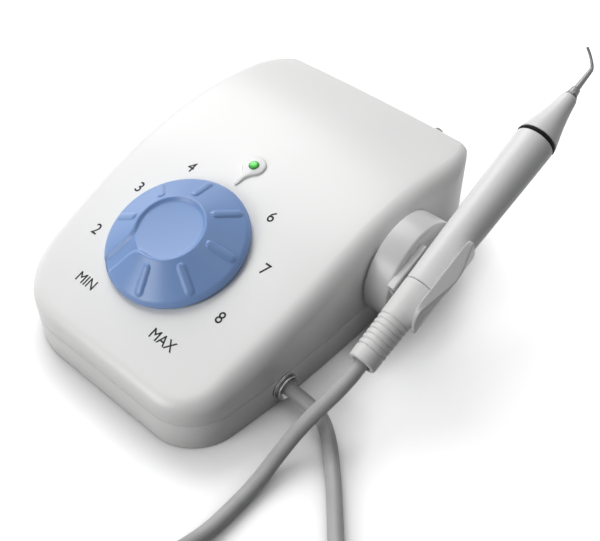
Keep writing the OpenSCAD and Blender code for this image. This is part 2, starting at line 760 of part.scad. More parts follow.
module power_dial() {
  bar_rise = 0.9;
  pointer_depth = 1.2;
  flare = 2.4;
  // Half of the mouth where the channel opens into the dish
  mouth = [
    [dish_d / 2 - 3, pointer_w / 2 + flare], [dish_d / 2 + 0.4, pointer_w / 2 + flare * 0.4],
    [cone_r0 + flare, pointer_w / 2 - fit_gap]
  ];
  bar_mid = (cone_r0 + cone_r1) / 2 + 0.2;
  bar_z = cone_z0 - (bar_mid - cone_r0) * tan(cone_a);
  color("cornflowerblue") on_dial() difference() {
    union() {
      rotate_extrude($fn = 128) dial_section();
      for (i = [1:dial_places - 1])
        rotate([0, 0, pointer_angle + i * 360 / dial_places])
          translate([bar_mid, 0, bar_z]) rotate([0, cone_a, 0]) translate([0, 0, -fuse])
            linear_extrude(bar_rise + fuse) slot_2d(bar_l, bar_w);
    }
    difference() {
      translate([0, 0, hub_z - cut])
        cylinder(d = shaft_d + 2 * turn_gap, h = shaft_top - hub_z + cut + fit_gap);
      translate([shaft_d / 2 - 1 + turn_gap, -shaft_d, hub_z - 2 * cut])
        cube([shaft_d, 2 * shaft_d, 2 * shaft_top]);
    }
    rotate([0, 0, pointer_angle]) translate([cone_r0, 0, cone_z0])
      rotate([0, cone_a, 0]) translate([-3, -pointer_w / 2, -pointer_depth])
        cube([dial_d / 2, pointer_w, 6]);
    rotate([0, 0, pointer_angle]) translate([0, 0, dial_h - pointer_depth]) linear_extrude(6)
      polygon([for (s = [-1, 1]) for (p = s < 0 ? mouth : reversed(mouth)) [p.x, s * p.y]]);
  }
}

// Indicator

bezel_t = 1;

module indicator_bezel() {
  tail_w = 1.6;
  r = bezel_d / 2;
  neck = r + 0.9;
  half = [
    [tail_w / 2, tail_w / 2 - bezel_tail], [tail_w / 2 + 0.5, -neck - 1], [tail_w / 2 + 0.9, -neck],
    [r * sin(34), -r * cos(34)], [r - 1.2, 0]
  ];
  color("white") on_led() translate([0, 0, 0.02]) difference() {
    union() {
      cylinder(d = bezel_d, h = bezel_t);
      translate([0, -bezel_tail + tail_w / 2, 0]) cylinder(d = tail_w, h = bezel_t);
      linear_extrude(bezel_t)
        polygon(concat(half, [for (p = reversed(half)) [-p.x, p.y]]));
    }
    translate([0, 0, -cut]) cylinder(d = led_d + 2 * fit_gap, h = bezel_t + 2 * cut);
  }
}

module indicator_led() {
  led_l = 8;
  color("limegreen") on_led() {
    translate([0, 0, bezel_t - led_l]) cylinder(d = led_d, h = led_l);
    translate([0, 0, bezel_t]) intersection() {
      scale(led_d / 2) sphere(r = 1);
      cylinder(d = led_d, h = led_d);
    }
    translate([0, 0, bezel_t - led_l]) cylinder(d = led_d + 1.4, h = 1.2);
  }
}

// Gland on the right wall

module cord_gland() {
  flange_z = -gland_seat;
  lip = 0.8;
  mouth_r = cord_d / 2 + 2 * clear_gap;
  color("silver") on_gland() difference() {
    union() {
      translate([0, 0, flange_z]) rotate_extrude() polygon([
        [0, 0], [gland_d / 2, 0], [gland_d / 2, gland_flange_t - lip],
        [gland_d / 2 - lip, gland_flange_t], [mouth_r, gland_flange_t - gland_mouth],
        [0, gland_flange_t - gland_mouth]
      ]);
      translate([0, 0, flange_z - 7]) cylinder(d = gland_thread_d, h = 7 + fuse);
    }
    translate([0, 0, flange_z - 7 - cut]) cylinder(d = line_d + 4 * fit_gap, h = 7 + cut);
  }
}

gland_nut_d = 2 * (gland_z - floor_z - fit_gap);

module gland_nut() {
  color("silver") on_gland() translate([0, 0, -gland_seat - wall - 3]) difference() {
    cylinder(d = gland_nut_d, h = 3 - fit_gap);
    translate([0, 0, -cut]) cylinder(d = gland_thread_d + 2 * fit_gap, h = 3 + 2 * cut);
  }
}

// Holder

module holder_washer() {
  color("black") on_pivot() tube(disc_d - 9, pivot_d + 1, disc_gap - 2 * fit_gap);
}

spring_t = 0.8;

module holder_spring() {
  color("silver") on_pivot() translate([0, 0, -wall - pivot_boss_h - spring_t - fit_gap])
    tube(pivot_boss_d - 4, pivot_d + 0.6, spring_t);
}

pivot_in = 6;

module holder_pivot() {
  head_h = 3;
  head_z = -wall - pivot_boss_h - spring_t - 3 * fit_gap;
  color("silver") on_pivot() {
    translate([0, 0, head_z - fuse]) cylinder(d = pivot_d, h = disc_gap + pivot_in - head_z);
    difference() {
      translate([0, 0, head_z - head_h]) cylinder(d = pivot_boss_d - 3, h = head_h);
      translate([-5, -0.8, head_z - head_h - cut]) cube([10, 1.6, 1.2 + cut]);
    }
  }
}

cradle_s0 = 31;
cradle_s1 = 53;
jaw_s0 = 21.6;
jaw_s1 = 60.6;
jaw_mid = 45.9;
jaw_wall = 1.2;
jaw_out = cradle_half + jaw_wall;
cradle_out = cradle_half + cradle_wall;
web_low = 6;

// U of the cradle without its outer jaw, X to the right and Y down
module cradle_section() {
  difference() {
    union() {
      circle(r = jaw_out);
      translate([-cradle_out - fuse, -inner_rise]) square([cradle_out + fuse, inner_rise + web_low]);
    }
    circle(r = cradle_half);
    translate([-cradle_half, -2 * cradle_out]) square([4 * cradle_half, 2 * cradle_out]);
    translate([-2 * cradle_out, -2 * cradle_out - inner_rise]) square(2 * cradle_out);
    translate([fuse, -cut]) square(2 * cradle_out);
  }
}

// Section of the outer jaw at its widest: trough wall, undercut and sloping rim
module jaw_section() {
  rim_tilt = 33;
  rim_x = cradle_half + jaw_reach;
  rim_y = jaw_reach * tan(rim_tilt) - jaw_rise;
  difference() {
    union() {
      intersection() {
        circle(r = jaw_out);
        square(2 * jaw_out);
      }
      polygon([[0, 0], [jaw_out, 0], [rim_x, rim_y], [cradle_half, -jaw_rise], [0, -jaw_rise]]);
    }
    circle(r = cradle_half);
    translate([-cut, -2 * jaw_rise]) square([cradle_half + cut, 2 * jaw_rise]);
  }
}

// Leaf outline of the rim, along the handpiece (X) and across it (Y)
module jaw_plan() {
  rear_x = cradle_half + jaw_reach * 0.23;
  front_x = cradle_half + jaw_reach * 0.38;
  peak = cradle_half + jaw_reach * 1.13;
  blend = 6;
  turn_steps = 6;
  rear = [jaw_mid - blend, peak + (rear_x - peak) * blend / (jaw_mid - jaw_s0)];
  front = [jaw_mid + blend, peak + (front_x - peak) * blend / (jaw_s1 - jaw_mid)];
  polygon(concat(
    [[jaw_s0, -cut], [jaw_s0, rear_x]],
    [for (i = [0:turn_steps]) let (k = i / turn_steps)
      (1 - k) * (1 - k) * rear + 2 * k * (1 - k) * [jaw_mid, peak] + k * k * front],
    [[jaw_s1, front_x], [jaw_s1, -cut]]
  ));
}

// Side outline of the jaw, along the handpiece (X) and across it (Y, down): its back end drops round
module jaw_side() {
  drop_l = 8.4;
  low_r = 30;
  low_s = 41;
  drop_steps = 6;
  intersection() {
    translate([low_s, jaw_out - low_r]) circle(r = low_r, $fn = 72);
    polygon(concat(
      [[jaw_s0, 2 * jaw_out]],
      [for (i = [0:drop_steps]) let (a = 90 * i / drop_steps)
        [jaw_s0 + drop_l * (1 - cos(a)), -jaw_rise * sin(a)]],
      [[jaw_s1 - 2, -jaw_rise], [jaw_s1, 2 - jaw_rise], [jaw_s1, 2 * jaw_out]]
    ));
  }
}

module outer_jaw() {
  intersection() {
    translate([0, 0, jaw_s0]) linear_extrude(jaw_s1 - jaw_s0) jaw_section();
    rotate([0, -90, -90]) translate([0, 0, -2 * jaw_rise]) linear_extrude(4 * jaw_rise) jaw_plan();
    rotate([0, -90, 0]) mirror([0, 0, 1]) linear_extrude(3 * cradle_out) jaw_side();
  }
}

module handpiece_holder() {
  round_r = 1.2;
  r = disc_d / 2;
  color("white") difference() {
    union() {
      translate([disc_x0, pivot_y, pivot_z]) rotate([0, 90, 0])
        rotate_extrude($fn = 96) {
          square([r - round_r, disc_t]);
          square([r, disc_t - round_r]);
          translate([r - round_r, disc_t - round_r]) circle(r = round_r);
        }
      on_hand() {
        translate([0, 0, cradle_s0]) linear_extrude(cradle_s1 - cradle_s0) cradle_section();
        outer_jaw();
      }
    }
    on_pivot() translate([0, 0, disc_gap - cut])
      cylinder(d = pivot_d + 2 * turn_gap, h = pivot_in + cut + fit_gap);
  }
}

// Handset: connector and handpiece, all along one axis

sleeve_s0 = connector_l + clear_gap;
sleeve_s1 = sleeve_s0 + sleeve_l;
nose_s0 = sleeve_s1 + ring_d + 0.2;
nose_s1 = nose_s0 + nose_l;
plug_bore_l = 14;
groove_s0 = 5.6;
groove_w = 0.8;
groove_depth = 0.55;
function hand_d(s) = connector_d + (joint_d - connector_d) * s / connector_l;

module connector_body() {
  color("gainsboro") on_hand() difference() {
    rotate_extrude() polygon([
      [0, 0], [connector_d / 2 - 0.6, 0], [connector_d / 2, 0.6],
      for (i = [0:groove_count - 1]) let (s = groove_s0 + i * groove_pitch, r = hand_d(s) / 2)
        each [[r, s], [r - groove_depth, s + groove_w / 4],
          [r - groove_depth, s + groove_w * 0.75], [r, s + groove_w]],
      [joint_d / 2, connector_l - 0.4], [joint_d / 2 - 0.3, connector_l], [0, connector_l]
    ]);
    translate([0, 0, connector_l - plug_bore_l])
      cylinder(d = plug_d + 2 * fit_gap, h = plug_bore_l + cut);
  }
}

seal_d = 1.4;
seal_s = connector_l + plug_l * 0.55;

module connector_plug() {
  pin_n = 4;
  color("dimgray") on_hand() {
    difference() {
      translate([0, 0, connector_l - plug_bore_l]) cylinder(d = plug_d, h = plug_bore_l + plug_l - 2);
      translate([0, 0, seal_s - seal_d / 2 - fit_gap])
        tube(plug_d + cut, plug_d - 2 * seal_d - fit_gap, seal_d + 2 * fit_gap);
      translate([0, 0, connector_l + plug_l - 6]) cylinder(d = 2, h = 8);
    }
    for (i = [0:pin_n - 1]) rotate([0, 0, 360 * i / pin_n + 45])
      translate([plug_d / 2 - 1.8, 0, connector_l + plug_l - 2 - fuse]) cylinder(d = 1, h = 2 + fuse);
  }
}

module plug_seal() {
  color("black") on_hand() translate([0, 0, seal_s])
    rotate_extrude() translate([plug_d / 2 - seal_d / 2 + 0.02, 0]) circle(d = seal_d, $fn = 24);
}

spigot_back = 9;
spigot_wall_d = grip_d - 2.6;
cavity_d = stack_d + 0.6;
horn_from = 46;
horn_s0 = sleeve_s0 + horn_from;

module handpiece_sleeve() {
  socket_l = plug_l + 2;
  color("gainsboro") on_hand() difference() {
    rotate_extrude() polygon([
      [0, sleeve_s0], [joint_d / 2 - 0.3, sleeve_s0], [joint_d / 2, sleeve_s0 + 0.4],
      [joint_d / 2 + (grip_d - joint_d) * 0.28, sleeve_s0 + sleeve_l * 0.5],
      [grip_d / 2, sleeve_s1 - 1], [grip_d / 2 - 0.3, sleeve_s1], [0, sleeve_s1]
    ]);
    translate([0, 0, sleeve_s0 - cut]) cylinder(d = plug_d + 0.3, h = socket_l + cut);
    translate([0, 0, sleeve_s0 + socket_l - fuse]) cylinder(d = cavity_d, h = sleeve_l);
    translate([0, 0, sleeve_s1 - spigot_back])
      cylinder(d = spigot_wall_d + 2 * fit_gap, h = spigot_back + cut);
  }
}

module grip_ring() {
  color("black") on_hand() translate([0, 0, (sleeve_s1 + nose_s0) / 2])
    rotate_extrude() translate([grip_d / 2 - ring_d / 2 + 0.1, 0]) circle(d = ring_d, $fn = 24);
}

module nose_cone() {
  waist_r = nose_d / 2 + (grip_d - nose_d) * 0.16;
  bore_d = 4.6;
  color("gainsboro") on_hand() difference() {
    rotate_extrude() polygon([
      [0, sleeve_s1 - spigot_back + 0.2], [spigot_wall_d / 2, sleeve_s1 - spigot_back + 0.2],
      [spigot_wall_d / 2, sleeve_s1 - 1], [grip_d / 2 - ring_d - 0.1, sleeve_s1 - 1],
      [grip_d / 2 - ring_d - 0.1, nose_s0], [grip_d / 2 - 0.3, nose_s0], [grip_d / 2 - 0.1, nose_s0 + 0.4],
      [grip_d / 2 - 0.6, nose_s0 + nose_l * 0.14],
      [nose_d / 2 + (grip_d - nose_d) * 0.3, nose_s0 + nose_l * 0.42],
      [waist_r, nose_s0 + nose_l * 0.68], [nose_d / 2 + 0.35, nose_s0 + nose_l * 0.94],
      [nose_d / 2, nose_s1], [0, nose_s1]
    ]);
    translate([0, 0, sleeve_s1 - spigot_back - cut]) cylinder(d = cavity_d, h = spigot_back + cut + 1);
    translate([0, 0, sleeve_s1]) cylinder(d1 = cavity_d - 1, d2 = bore_d, h = nose_l * 0.6);
    translate([0, 0, sleeve_s1]) cylinder(d = bore_d, h = nose_l + 2 * ring_d + cut);
  }
}

ring_l = 0.9;
ring_bore = 4.2;

module light_ring() {
  color("azure") on_hand() translate([0, 0, nose_s1]) tube(nose_d - 2 * fit_gap, ring_bore, ring_l);
}

stub_d = 3;
collar_l = 4;
collar_s0 = nose_s1 + ring_l + 0.5;

module transducer_horn() {
  flange_l = 3;
  body_end = 9;
  waist_at = 21;
  neck_at = 30;
  waist_d = 6;
  neck_d = 3.8;
  stub_end = collar_s0 + collar_l - 1.2;
  color("silver") on_hand() rotate_extrude() polygon([
    [0, horn_s0], [cavity_d / 2 - fit_gap, horn_s0], [cavity_d / 2 - fit_gap, horn_s0 + flange_l],
    [stack_d / 2 - 0.6, horn_s0 + flange_l], [stack_d / 2 - 0.6, horn_s0 + body_end],
    [waist_d / 2, horn_s0 + waist_at], [neck_d / 2, horn_s0 + neck_at],
    [neck_d / 2, collar_s0 - 0.2], [stub_d / 2, collar_s0 - 0.2], [stub_d / 2, stub_end],
    [0, stub_end]
  ]);
}

stack_n = 4;
disc_l = 2.4;
stack_bore = 4.4;
bolt_d = 4;

module piezo_stack() {
  color("khaki") on_hand() for (i = [1:stack_n])
    translate([0, 0, horn_s0 - i * disc_l - 0.05 * i]) tube(stack_d, stack_bore, disc_l);
}

module back_mass() {
  stack_l = stack_n * (disc_l + 0.05) + 0.05;
  mass_l = 12;
  color("slategray") on_hand() {
    translate([0, 0, horn_s0 - stack_l - mass_l]) cylinder(d = stack_d - 0.6, h = mass_l);
    translate([0, 0, horn_s0 - stack_l - fuse]) cylinder(d = bolt_d, h = stack_l + fuse - 0.05);
  }
}

// Path of the tip: straight, round the bend, then a gentle bow, in its own plane
tip_bend_steps = 6;
tip_bow_steps = 5;
tip_s0 = collar_s0 + collar_l - fuse;
tip_s1 = tip_s0 + tip_straight + fuse;
tip_bow_r = tip_end / (tip_curl * PI / 180);
tip_bow_at = [tip_bend_r * (1 - cos(tip_bend)), tip_s1 + tip_bend_r * sin(tip_bend)];
tip_path = concat(
  [for (i = [0:2]) [0, tip_s0 + (tip_s1 - tip_s0) * i / 3]],
  [for (i = [0:tip_bend_steps]) let (a = tip_bend * i / tip_bend_steps)
    [tip_bend_r * (1 - cos(a)), tip_s1 + tip_bend_r * sin(a)]],
  [for (i = [1:tip_bow_steps]) let (a = tip_bend + tip_curl * i / tip_bow_steps)
    tip_bow_at + tip_bow_r * [cos(tip_bend) - cos(a), sin(a) - sin(tip_bend)]]
);
// The same path along the handpiece, turned about it, with Y down
tip_points = [for (p = tip_path) [-p[0] * sin(tip_turn), -p[0] * cos(tip_turn), p[1]]];
function tip_ring(i, sides) =
  let (t = tangent(tip_points, i), u = [cos(tip_turn), -sin(tip_turn), 0], v = cross(t, u),
    r = (tip_d + (tip_point_d - tip_d) * sqrt(i / (len(tip_points) - 1))) / 2)
  [for (k = [0:sides - 1]) tip_points[i] + r * (cos(360 * k / sides) * u + sin(360 * k / sides) * v)];

module tip_shank() {
  sides = 10;
  n = len(tip_points);
  ends = [for (k = [1:sides - 2]) [0, k, k + 1]];
  polyhedron(
    [for (i = [0:n - 1]) each tip_ring(i, sides)],
    concat(ends, [for (i = [0:n - 2]) each band(i * sides, (i + 1) * sides, sides)],
      [for (f = flip(ends)) [for (k = f) k + (n - 1) * sides]])
  );
}

module scaling_tip() {
  collar_d = 4.8;
  flat_w = 4;
  color("silver") on_hand() {
    difference() {
      translate([0, 0, collar_s0]) intersection() {
        cylinder(d1 = collar_d, d2 = collar_d - 1.2, h = collar_l);
        translate([-collar_d, -flat_w / 2, 0]) cube([2 * collar_d, flat_w, collar_l]);
      }
      translate([0, 0, collar_s0 - cut]) cylinder(d = stub_d + 2 * turn_gap, h = collar_l - 1.1 + cut);
    }
    tip_shank();
  }
}

// Cord, in the part's own frame

// From the gland over the table to the coil
run_route = [
  [gland_end_x, gland_y, gland_z] + unit_shift, [gland_end_x + 6, gland_y, gland_z - 0.1] + unit_shift,
  [61, -61.4, 7.2], [67, -63.6, 5.2], [72.5, -67.6, 3.8],
  [78, -72.8, 3.2], [86, -81, 3.1], [98, -94.2, 3.1], [110, -107.5, 3.3], [122, -120.8, 3.8],
  [132, -131.7, 4.2]
];
// From the connector down to the table and up to the coil's upper layer
hand_along = [0, cos(pitch), sin(pitch)];
hand_end = [hand_x, rear_y, rear_z] + unit_shift - fit_gap * hand_along;
lead_route = [
  hand_end, hand_end - cord_d * hand_along, [66.8, -57, 21.9], [65.2, -64, 18.2],
  [63.6, -71, 14.2], [62.7, -78, 10.6], [62.5, -86, 7.2], [62.8, -94, 4.7], [63.1, -102, 3.4],
  [63.3, -112, 3.1], [63.2, -122, 3.3], [62.7, -131, 5.1], [62.1, -140, 8.2], [61.8, -149, 10.3],
  [61.7, -158, 10.8]
];
coil_at = [108, -174];
coil_lift = 1.2;
coil_start_a = 42;
coil_turns = 6 + 222 / 360;
coil_rings = 24;
coil_n = round(coil_turns * coil_rings);
coil_out_r = coil_in_r + coil_step * coil_turns / 2;
function ease(t) = let (c = min(1, max(0, t))) c * c * (3 - 2 * c);
// Middle of the cord after t turns: inwards on the lower layer, outwards on the upper one
function coil_point(t) = let (a = coil_start_a - 360 * t, half = coil_turns / 2,
  r = coil_in_r + coil_step * abs(t - half))
  [coil_at.x + r * cos(a), coil_at.y + r * sin(a),
    coil_lift + cord_d / 2 + coil_step * ease((t - half + 0.25) / 0.5)];
function along(a) = [sin(a), -cos(a), 0];
coil_end_a = coil_start_a - 360 * coil_turns;
coil_path = concat(
  [coil_point(0) - cord_d * along(coil_start_a)],
  [for (i = [0:coil_n]) coil_point(coil_turns * i / coil_n)],
  [coil_point(coil_turns) + cord_d * along(coil_end_a)]
);
// Least gap of the coil to itself, between points at least a third of a turn apart
coil_gap = min([for (i = [1:coil_n]) for (j = [i + 8:1:coil_n])
  norm(coil_path[i] - coil_path[j])]) - cord_d;
echo(coil_self_gap = coil_gap);

module cord_run() {
  path = concat(run_route, [coil_path[0]]);
  color("gray") sweep(path, same(cord_d / 2, path), 10);
}

module cord_lead() {
  path = concat(lead_route, [coil_path[len(coil_path) - 1]]);
  color("gray") sweep(path, same(cord_d / 2, path), 10);
}

module cord_coil() {
  color("gray") sweep(coil_path, same(cord_d / 2, coil_path), 6);
}

module cord_tie() {
  tie_a = 250;
  tie_w = 9;
  tie_t = 0.8;
  room = 0.3;
  in_r = coil_in_r - cord_d / 2 - room;
  out_r = coil_out_r + cord_d / 2 + room;
  low = coil_lift - room;
  high = coil_lift + cord_d + coil_step + room;
  color("dimgray") translate([coil_at.x, coil_at.y, 0]) rotate([0, 0, tie_a])
    translate([0, tie_w / 2, 0]) rotate([90, 0, 0]) linear_extrude(tie_w) difference() {
      translate([in_r - tie_t, low - tie_t]) square([out_r - in_r + 2 * tie_t, high - low + 2 * tie_t]);
      translate([in_r, low]) square([out_r - in_r, high - low]);
    }
}

module in_place() {
  translate(unit_shift) children();
}

in_place() top_cover();
in_place() base_tray();
in_place() rubber_feet();
in_place() case_screws();
in_place() rear_panel();
in_place() power_socket();
in_place() footswitch_socket();
in_place() water_inlet();
in_place() solenoid_valve();
in_place() water_line();
in_place() control_board();
in_place() board_screws();
in_place() transformer_core();
in_place() transformer_coil();
in_place() heat_sink();
in_place() potentiometer();
in_place() potentiometer_nut();
in_place() dial_shaft();
in_place() power_dial();
in_place() indicator_bezel();
in_place() indicator_led();
in_place() cord_gland();
in_place() gland_nut();
in_place() holder_washer();
in_place() holder_spring();
in_place() holder_pivot();
in_place() handpiece_holder();
in_place() connector_body();
in_place() connector_plug();
in_place() plug_seal();
in_place() handpiece_sleeve();
in_place() grip_ring();
in_place() nose_cone();
in_place() light_ring();
in_place() transducer_horn();
in_place() piezo_stack();
in_place() back_mass();
in_place() scaling_tip();
cord_run();
cord_lead();
cord_coil();
cord_tie();
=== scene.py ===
"""Looks of a table-top ultrasonic scaler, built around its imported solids.

Lengths in this file are millimetres in the case's own frame: x to the user's right, y to the back,
z up from the table, with the middle of the case at x = y = 0. Meshes leave it in metres.
"""

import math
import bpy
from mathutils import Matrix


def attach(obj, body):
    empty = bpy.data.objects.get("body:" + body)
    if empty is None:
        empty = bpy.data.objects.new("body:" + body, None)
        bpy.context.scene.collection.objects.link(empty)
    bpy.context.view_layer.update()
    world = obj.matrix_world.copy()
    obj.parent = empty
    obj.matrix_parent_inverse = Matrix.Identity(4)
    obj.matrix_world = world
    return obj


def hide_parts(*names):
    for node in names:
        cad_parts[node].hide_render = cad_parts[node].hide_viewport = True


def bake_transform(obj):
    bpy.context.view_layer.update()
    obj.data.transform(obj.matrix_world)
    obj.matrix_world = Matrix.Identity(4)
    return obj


bl_info = {
    "name": "Ultrasonic Scaler",
    "version": (1, 0, 0),
    "blender": (4, 5, 0),
    "location": "View3D > Sidebar > Scaler",
    "description": "Smooth mouldings, finishes, cord and studio for the ultrasonic scaler",
    "category": "Add Mesh",
}

import bmesh
import bpy
from bpy.props import FloatProperty, FloatVectorProperty, PointerProperty
from bpy.types import Operator, Panel, PropertyGroup
from mathutils import Matrix, Vector

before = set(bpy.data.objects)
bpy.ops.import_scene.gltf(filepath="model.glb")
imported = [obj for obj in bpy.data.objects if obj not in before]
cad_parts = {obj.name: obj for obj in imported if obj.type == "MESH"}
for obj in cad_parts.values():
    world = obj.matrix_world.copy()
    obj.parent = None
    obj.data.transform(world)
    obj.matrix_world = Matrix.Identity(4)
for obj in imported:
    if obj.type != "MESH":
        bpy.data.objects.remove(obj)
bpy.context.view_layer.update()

MM = 0.001
# The part's origin in the case's frame
ORIGIN = Vector((16.5, 18.0, 0.0))

# Camera of the photograph: focal length in pixels, direction, aim on the table and distance
PHOTO_WIDTH, FOCAL_PX, SENSOR_W = 600, 940.352, 36.0
ELEVATION, AZIMUTH = math.radians(46.489), math.radians(41.674)
AIM, DISTANCE = Vector((17.59, 13.75, 0)), 424.34

# Studio, in metres: place and diameter of each lamp, and the point that they light
KEY_AT, KEY_D = (-0.65, 0.33, 0.8), 0.9
TOP_AT, TOP_D = (0.15, 0.1, 1.2), 1.0
FILL_AT, FILL_D = (-0.3, -0.95, 0.4), 0.6
LAMP_AIM = (0, 0, 0.02)
# Table: half its side, its grey as it is seen and as it throws light back
TABLE_HALF, TABLE_SEEN, TABLE_BOUNCE = 4, 0.86, 0.2
# Distances from the middle of the table over which it turns to plain white
FADE_FROM, FADE_TO = 0.3, 0.9
# Reach and depth of the painted contact shadow where a piece meets the table
CONTACT_REACH, CONTACT_DEPTH = 0.024, 2.5

# Case
HALF_W = 61.2
FRONT, NOSE_Y, BACK = -88.0, -89.4, 88.0
FRONT_H, SLOPE = 24.7, math.radians(16.5)
BEND_Y, BEND_R, CROWN = -12.4, 167.0, 1.2
WALL, SPLIT_Z, FOOT_H = 2.5, 15.0, 2.0
EDGE_R, FRONT_EDGE_R, REAR_EDGE_R, FRONT_REACH = 8.4, 5.0, 4.0, 26.0
RIGHT_CORNER_R, LEFT_CORNER_R, REAR_CORNER_R = 22.0, 34.0, 7.0
RIGHT_BOW_R, LEFT_BOW_R, SIDE_REAR_R = 500.0, 357.0, 50.0
SIDE_Y0, SIDE_Y1 = -5.3, 56.8
GROOVE_H, GROOVE_IN = 0.25, 0.4
SKIRT_Z, SKIRT_T = 0.6, 2.0
# Half the gap between the mouldings, and their broken edges as inset and height
SPLIT_GAP = 0.05
COVER_BREAK = [(0.2, 0.0), (0.05, 0.05), (0.0, 0.2)]
TRAY_BREAK = [(0.2, 0.0), (0.05, 0.06), (0.0, 0.2)]
SKIRT_BREAK = [(0.0, 0.5), (0.15, 0.12), (0.5, 0.0)]
PANEL_W, PANEL_H, PANEL_EDGE, PANEL_Z = 78.0, 22.0, 3.0, 28.6
PANEL_Y = BACK - WALL
BOSS_AT = [(41.15, -72.0), (45.7, 74.0)]
SCREW_BORE_R, SCREW_BORE_H = 3.1, 2.5

# Dial and indicator
DIAL_X, DIAL_Y, DIAL_R, DIAL_H = -3.2, -36.4, 30.5, 12.0
DISH_R, DISH_DEPTH = 14.5, 1.6
POINTER_A, POINTER_W = math.radians(237.3), 6.6
BAR_L, BAR_W, BAR_H, BAR_MID_R = 11.6, 3.6, 0.95, 22.9
# Radii of the rings of the dial's face, and its underside as radius and height
FACE_RADII = [1.5, 3.5, 6, 8.5, 11, 12.2, *(12.8 + 0.28 * i for i in range(62)), 30.1, 30.3, 30.42, 30.5]
UNDERSIDE = [(30.5, 1.4), (30.35, 1.0), (30.0, 0.8), (28.4, 0.8), (28.3, 1.0), (28.3, 2.6),
             (14.7, 8.1), (5.0, 8.1), (5.0, 4.3)]
LED_Y, LED_R, BEZEL_R = 8.4, 2.2, 5.3
# Height over the case of the middle of the lens's painted highlight, round which its rim gets painted shade
LENS_HIGHLIGHT_Z = 1.6
# Stretch in which the trim's tail gets lower towards the dial, and by which share; its end and half width
TAIL_FROM, TAIL_TO, TAIL_DROP = -6.0, -12.0, 0.65
TAIL_END, TAIL_HALF_W = -11.2, 0.75

# Printed scale: word, middle of the word, height of its capitals
SCALE = [
    ("MIN", -23.4, -69.3, 4.2), ("2", -38.6, -50.1, 4.9), ("3", -38.2, -25.6, 4.9), ("4", -25.8, -6.3, 4.9),
    ("6", 20.6, -6.5, 4.9), ("7", 34.5, -25.6, 4.9), ("8", 34.2, -50.4, 4.9), ("MAX", 22.3, -69.8, 4.2),
]
# The strokes are thickened by copies: shift to the right and to the back, and height over the case
INK_BOLD = 0.05
INK_COPIES = [(-INK_BOLD, 0, 0.06), (INK_BOLD, 0, 0.065), (0, -INK_BOLD, 0.07), (0, INK_BOLD, 0.075)]
INK_NARROW, INK_SUNK = 0.96, 0.05

# Holder and handset
PIVOT_Y, PIVOT_Z = 25.0, 29.0
DISC_R, DISC_X0, DISC_X1 = 23.0, 62.0, 73.5
CRADLE_IN, JAW_OUT, INNER_RISE = 7.9, 9.1, 2.0
JAW_S0, JAW_S1, JAW_MID, JAW_RISE, JAW_REACH = 21.6, 60.6, 45.9, 11.6, 4.9
RIM_TILT = math.radians(33.0)
CRADLE_S0, CRADLE_S1, END_R = 31.0, 53.0, 0.5
PITCH = math.radians(21.0)
HAND_AT = Vector((84.0, -26.285, 26.987))
GLAND_AT = Vector((59.777, -43.0, 8.7))
CONNECTOR_R, CONNECTOR_SWELL, CONNECTOR_L = 5.9, 0.9, 37.7
GRIP_GROOVES, GROOVE_STEP, GROOVE_FROM, GROOVE_DEEP = 7, 2.42, 5.6, 0.5
SHANK_R, POINT_R, COLLAR_FLAT = 1.4, 0.55, 2.0

# Cord, in the part's own frame
RUN_ROUTE = [
    (44.177, -61, 8.7), (50.177, -61, 8.6), (61, -61.4, 7.2), (67, -63.6, 5.2), (72.5, -67.6, 3.8),
    (78, -72.8, 3.2), (86, -81, 3.1), (98, -94.2, 3.1), (110, -107.5, 3.3), (122, -120.8, 3.8),
    (132, -131.7, 4.2),
]
LEAD_ROUTE = [
    (67.5, -43.07, 27.453), (67.5, -49.98, 24.8), (66.8, -57, 21.9), (65.2, -64, 18.2),
    (63.6, -71, 14.2), (62.7, -78, 10.6), (62.5, -86, 7.2), (62.8, -94, 4.7), (63.1, -102, 3.4),
    (63.3, -112, 3.1), (63.2, -122, 3.3), (62.7, -131, 5.1), (62.1, -140, 8.2), (61.8, -149, 10.3),
    (61.7, -158, 10.8),
]
# Places in the lead between which the cord follows the holder
RISE_FROM, RISE_TO = 11, 6
CORD_R = 3.0
COIL_AT = (108.0, -174.0)
COIL_IN_R, COIL_STEP, COIL_LIFT = 24.5, 6.6, 1.2
COIL_START, COIL_TURNS = math.radians(42.0), 6 + 222 / 360
# Turns in which the coil climbs to its upper layer, and its straight ends
CLIMB_TURNS, COIL_END = 0.5, 6


# Small maths

def clamp(t, low=0.0, high=1.0):
    """Value held between two limits."""
    return max(low, min(high, t))


def ease(t):
    """Smooth step from nothing to one."""
    t = clamp(t)
    return t * t * (3 - 2 * t)


def top_z(x, y):
    """Height of the case's top."""
    bend = max(0.0, y - BEND_Y)
    return (FRONT_H + math.tan(SLOPE) * (y - FRONT) - bend * bend / (2 * BEND_R)
            + CROWN * (0.5 - (x / HALF_W) ** 2))


def top_slope(y):
    """Slope of the case's top along y."""
    return math.atan(math.tan(SLOPE) - max(0.0, y - BEND_Y) / BEND_R)


def edge_at(y):
    """Rounding of the top edge, smaller towards the front and the back."""
    return (EDGE_R + (REAR_EDGE_R - EDGE_R) * ease((y - SIDE_Y1) / (BACK - SIDE_Y1))
            + (FRONT_EDGE_R - EDGE_R) * ease((NOSE_Y + FRONT_REACH - y) / FRONT_REACH))


def on_top(x, y):
    """Frame on the case's top: z square to it, y up the slope."""
    return Matrix.Translation((x, y, top_z(x, y))) @ Matrix.Rotation(top_slope(y), 4, "X")


def on_hand():
    """Frame along the handset: z from the connector's rear end to the tip, x right, y down."""
    return Matrix.Translation(HAND_AT) @ Matrix.Rotation(PITCH - math.pi / 2, 4, "X")


def on_pivot():
    """Frame of the holder's pivot: z out of the right wall."""
    return Matrix.Translation((HALF_W, PIVOT_Y, PIVOT_Z)) @ Matrix.Rotation(math.pi / 2, 4, "Y")


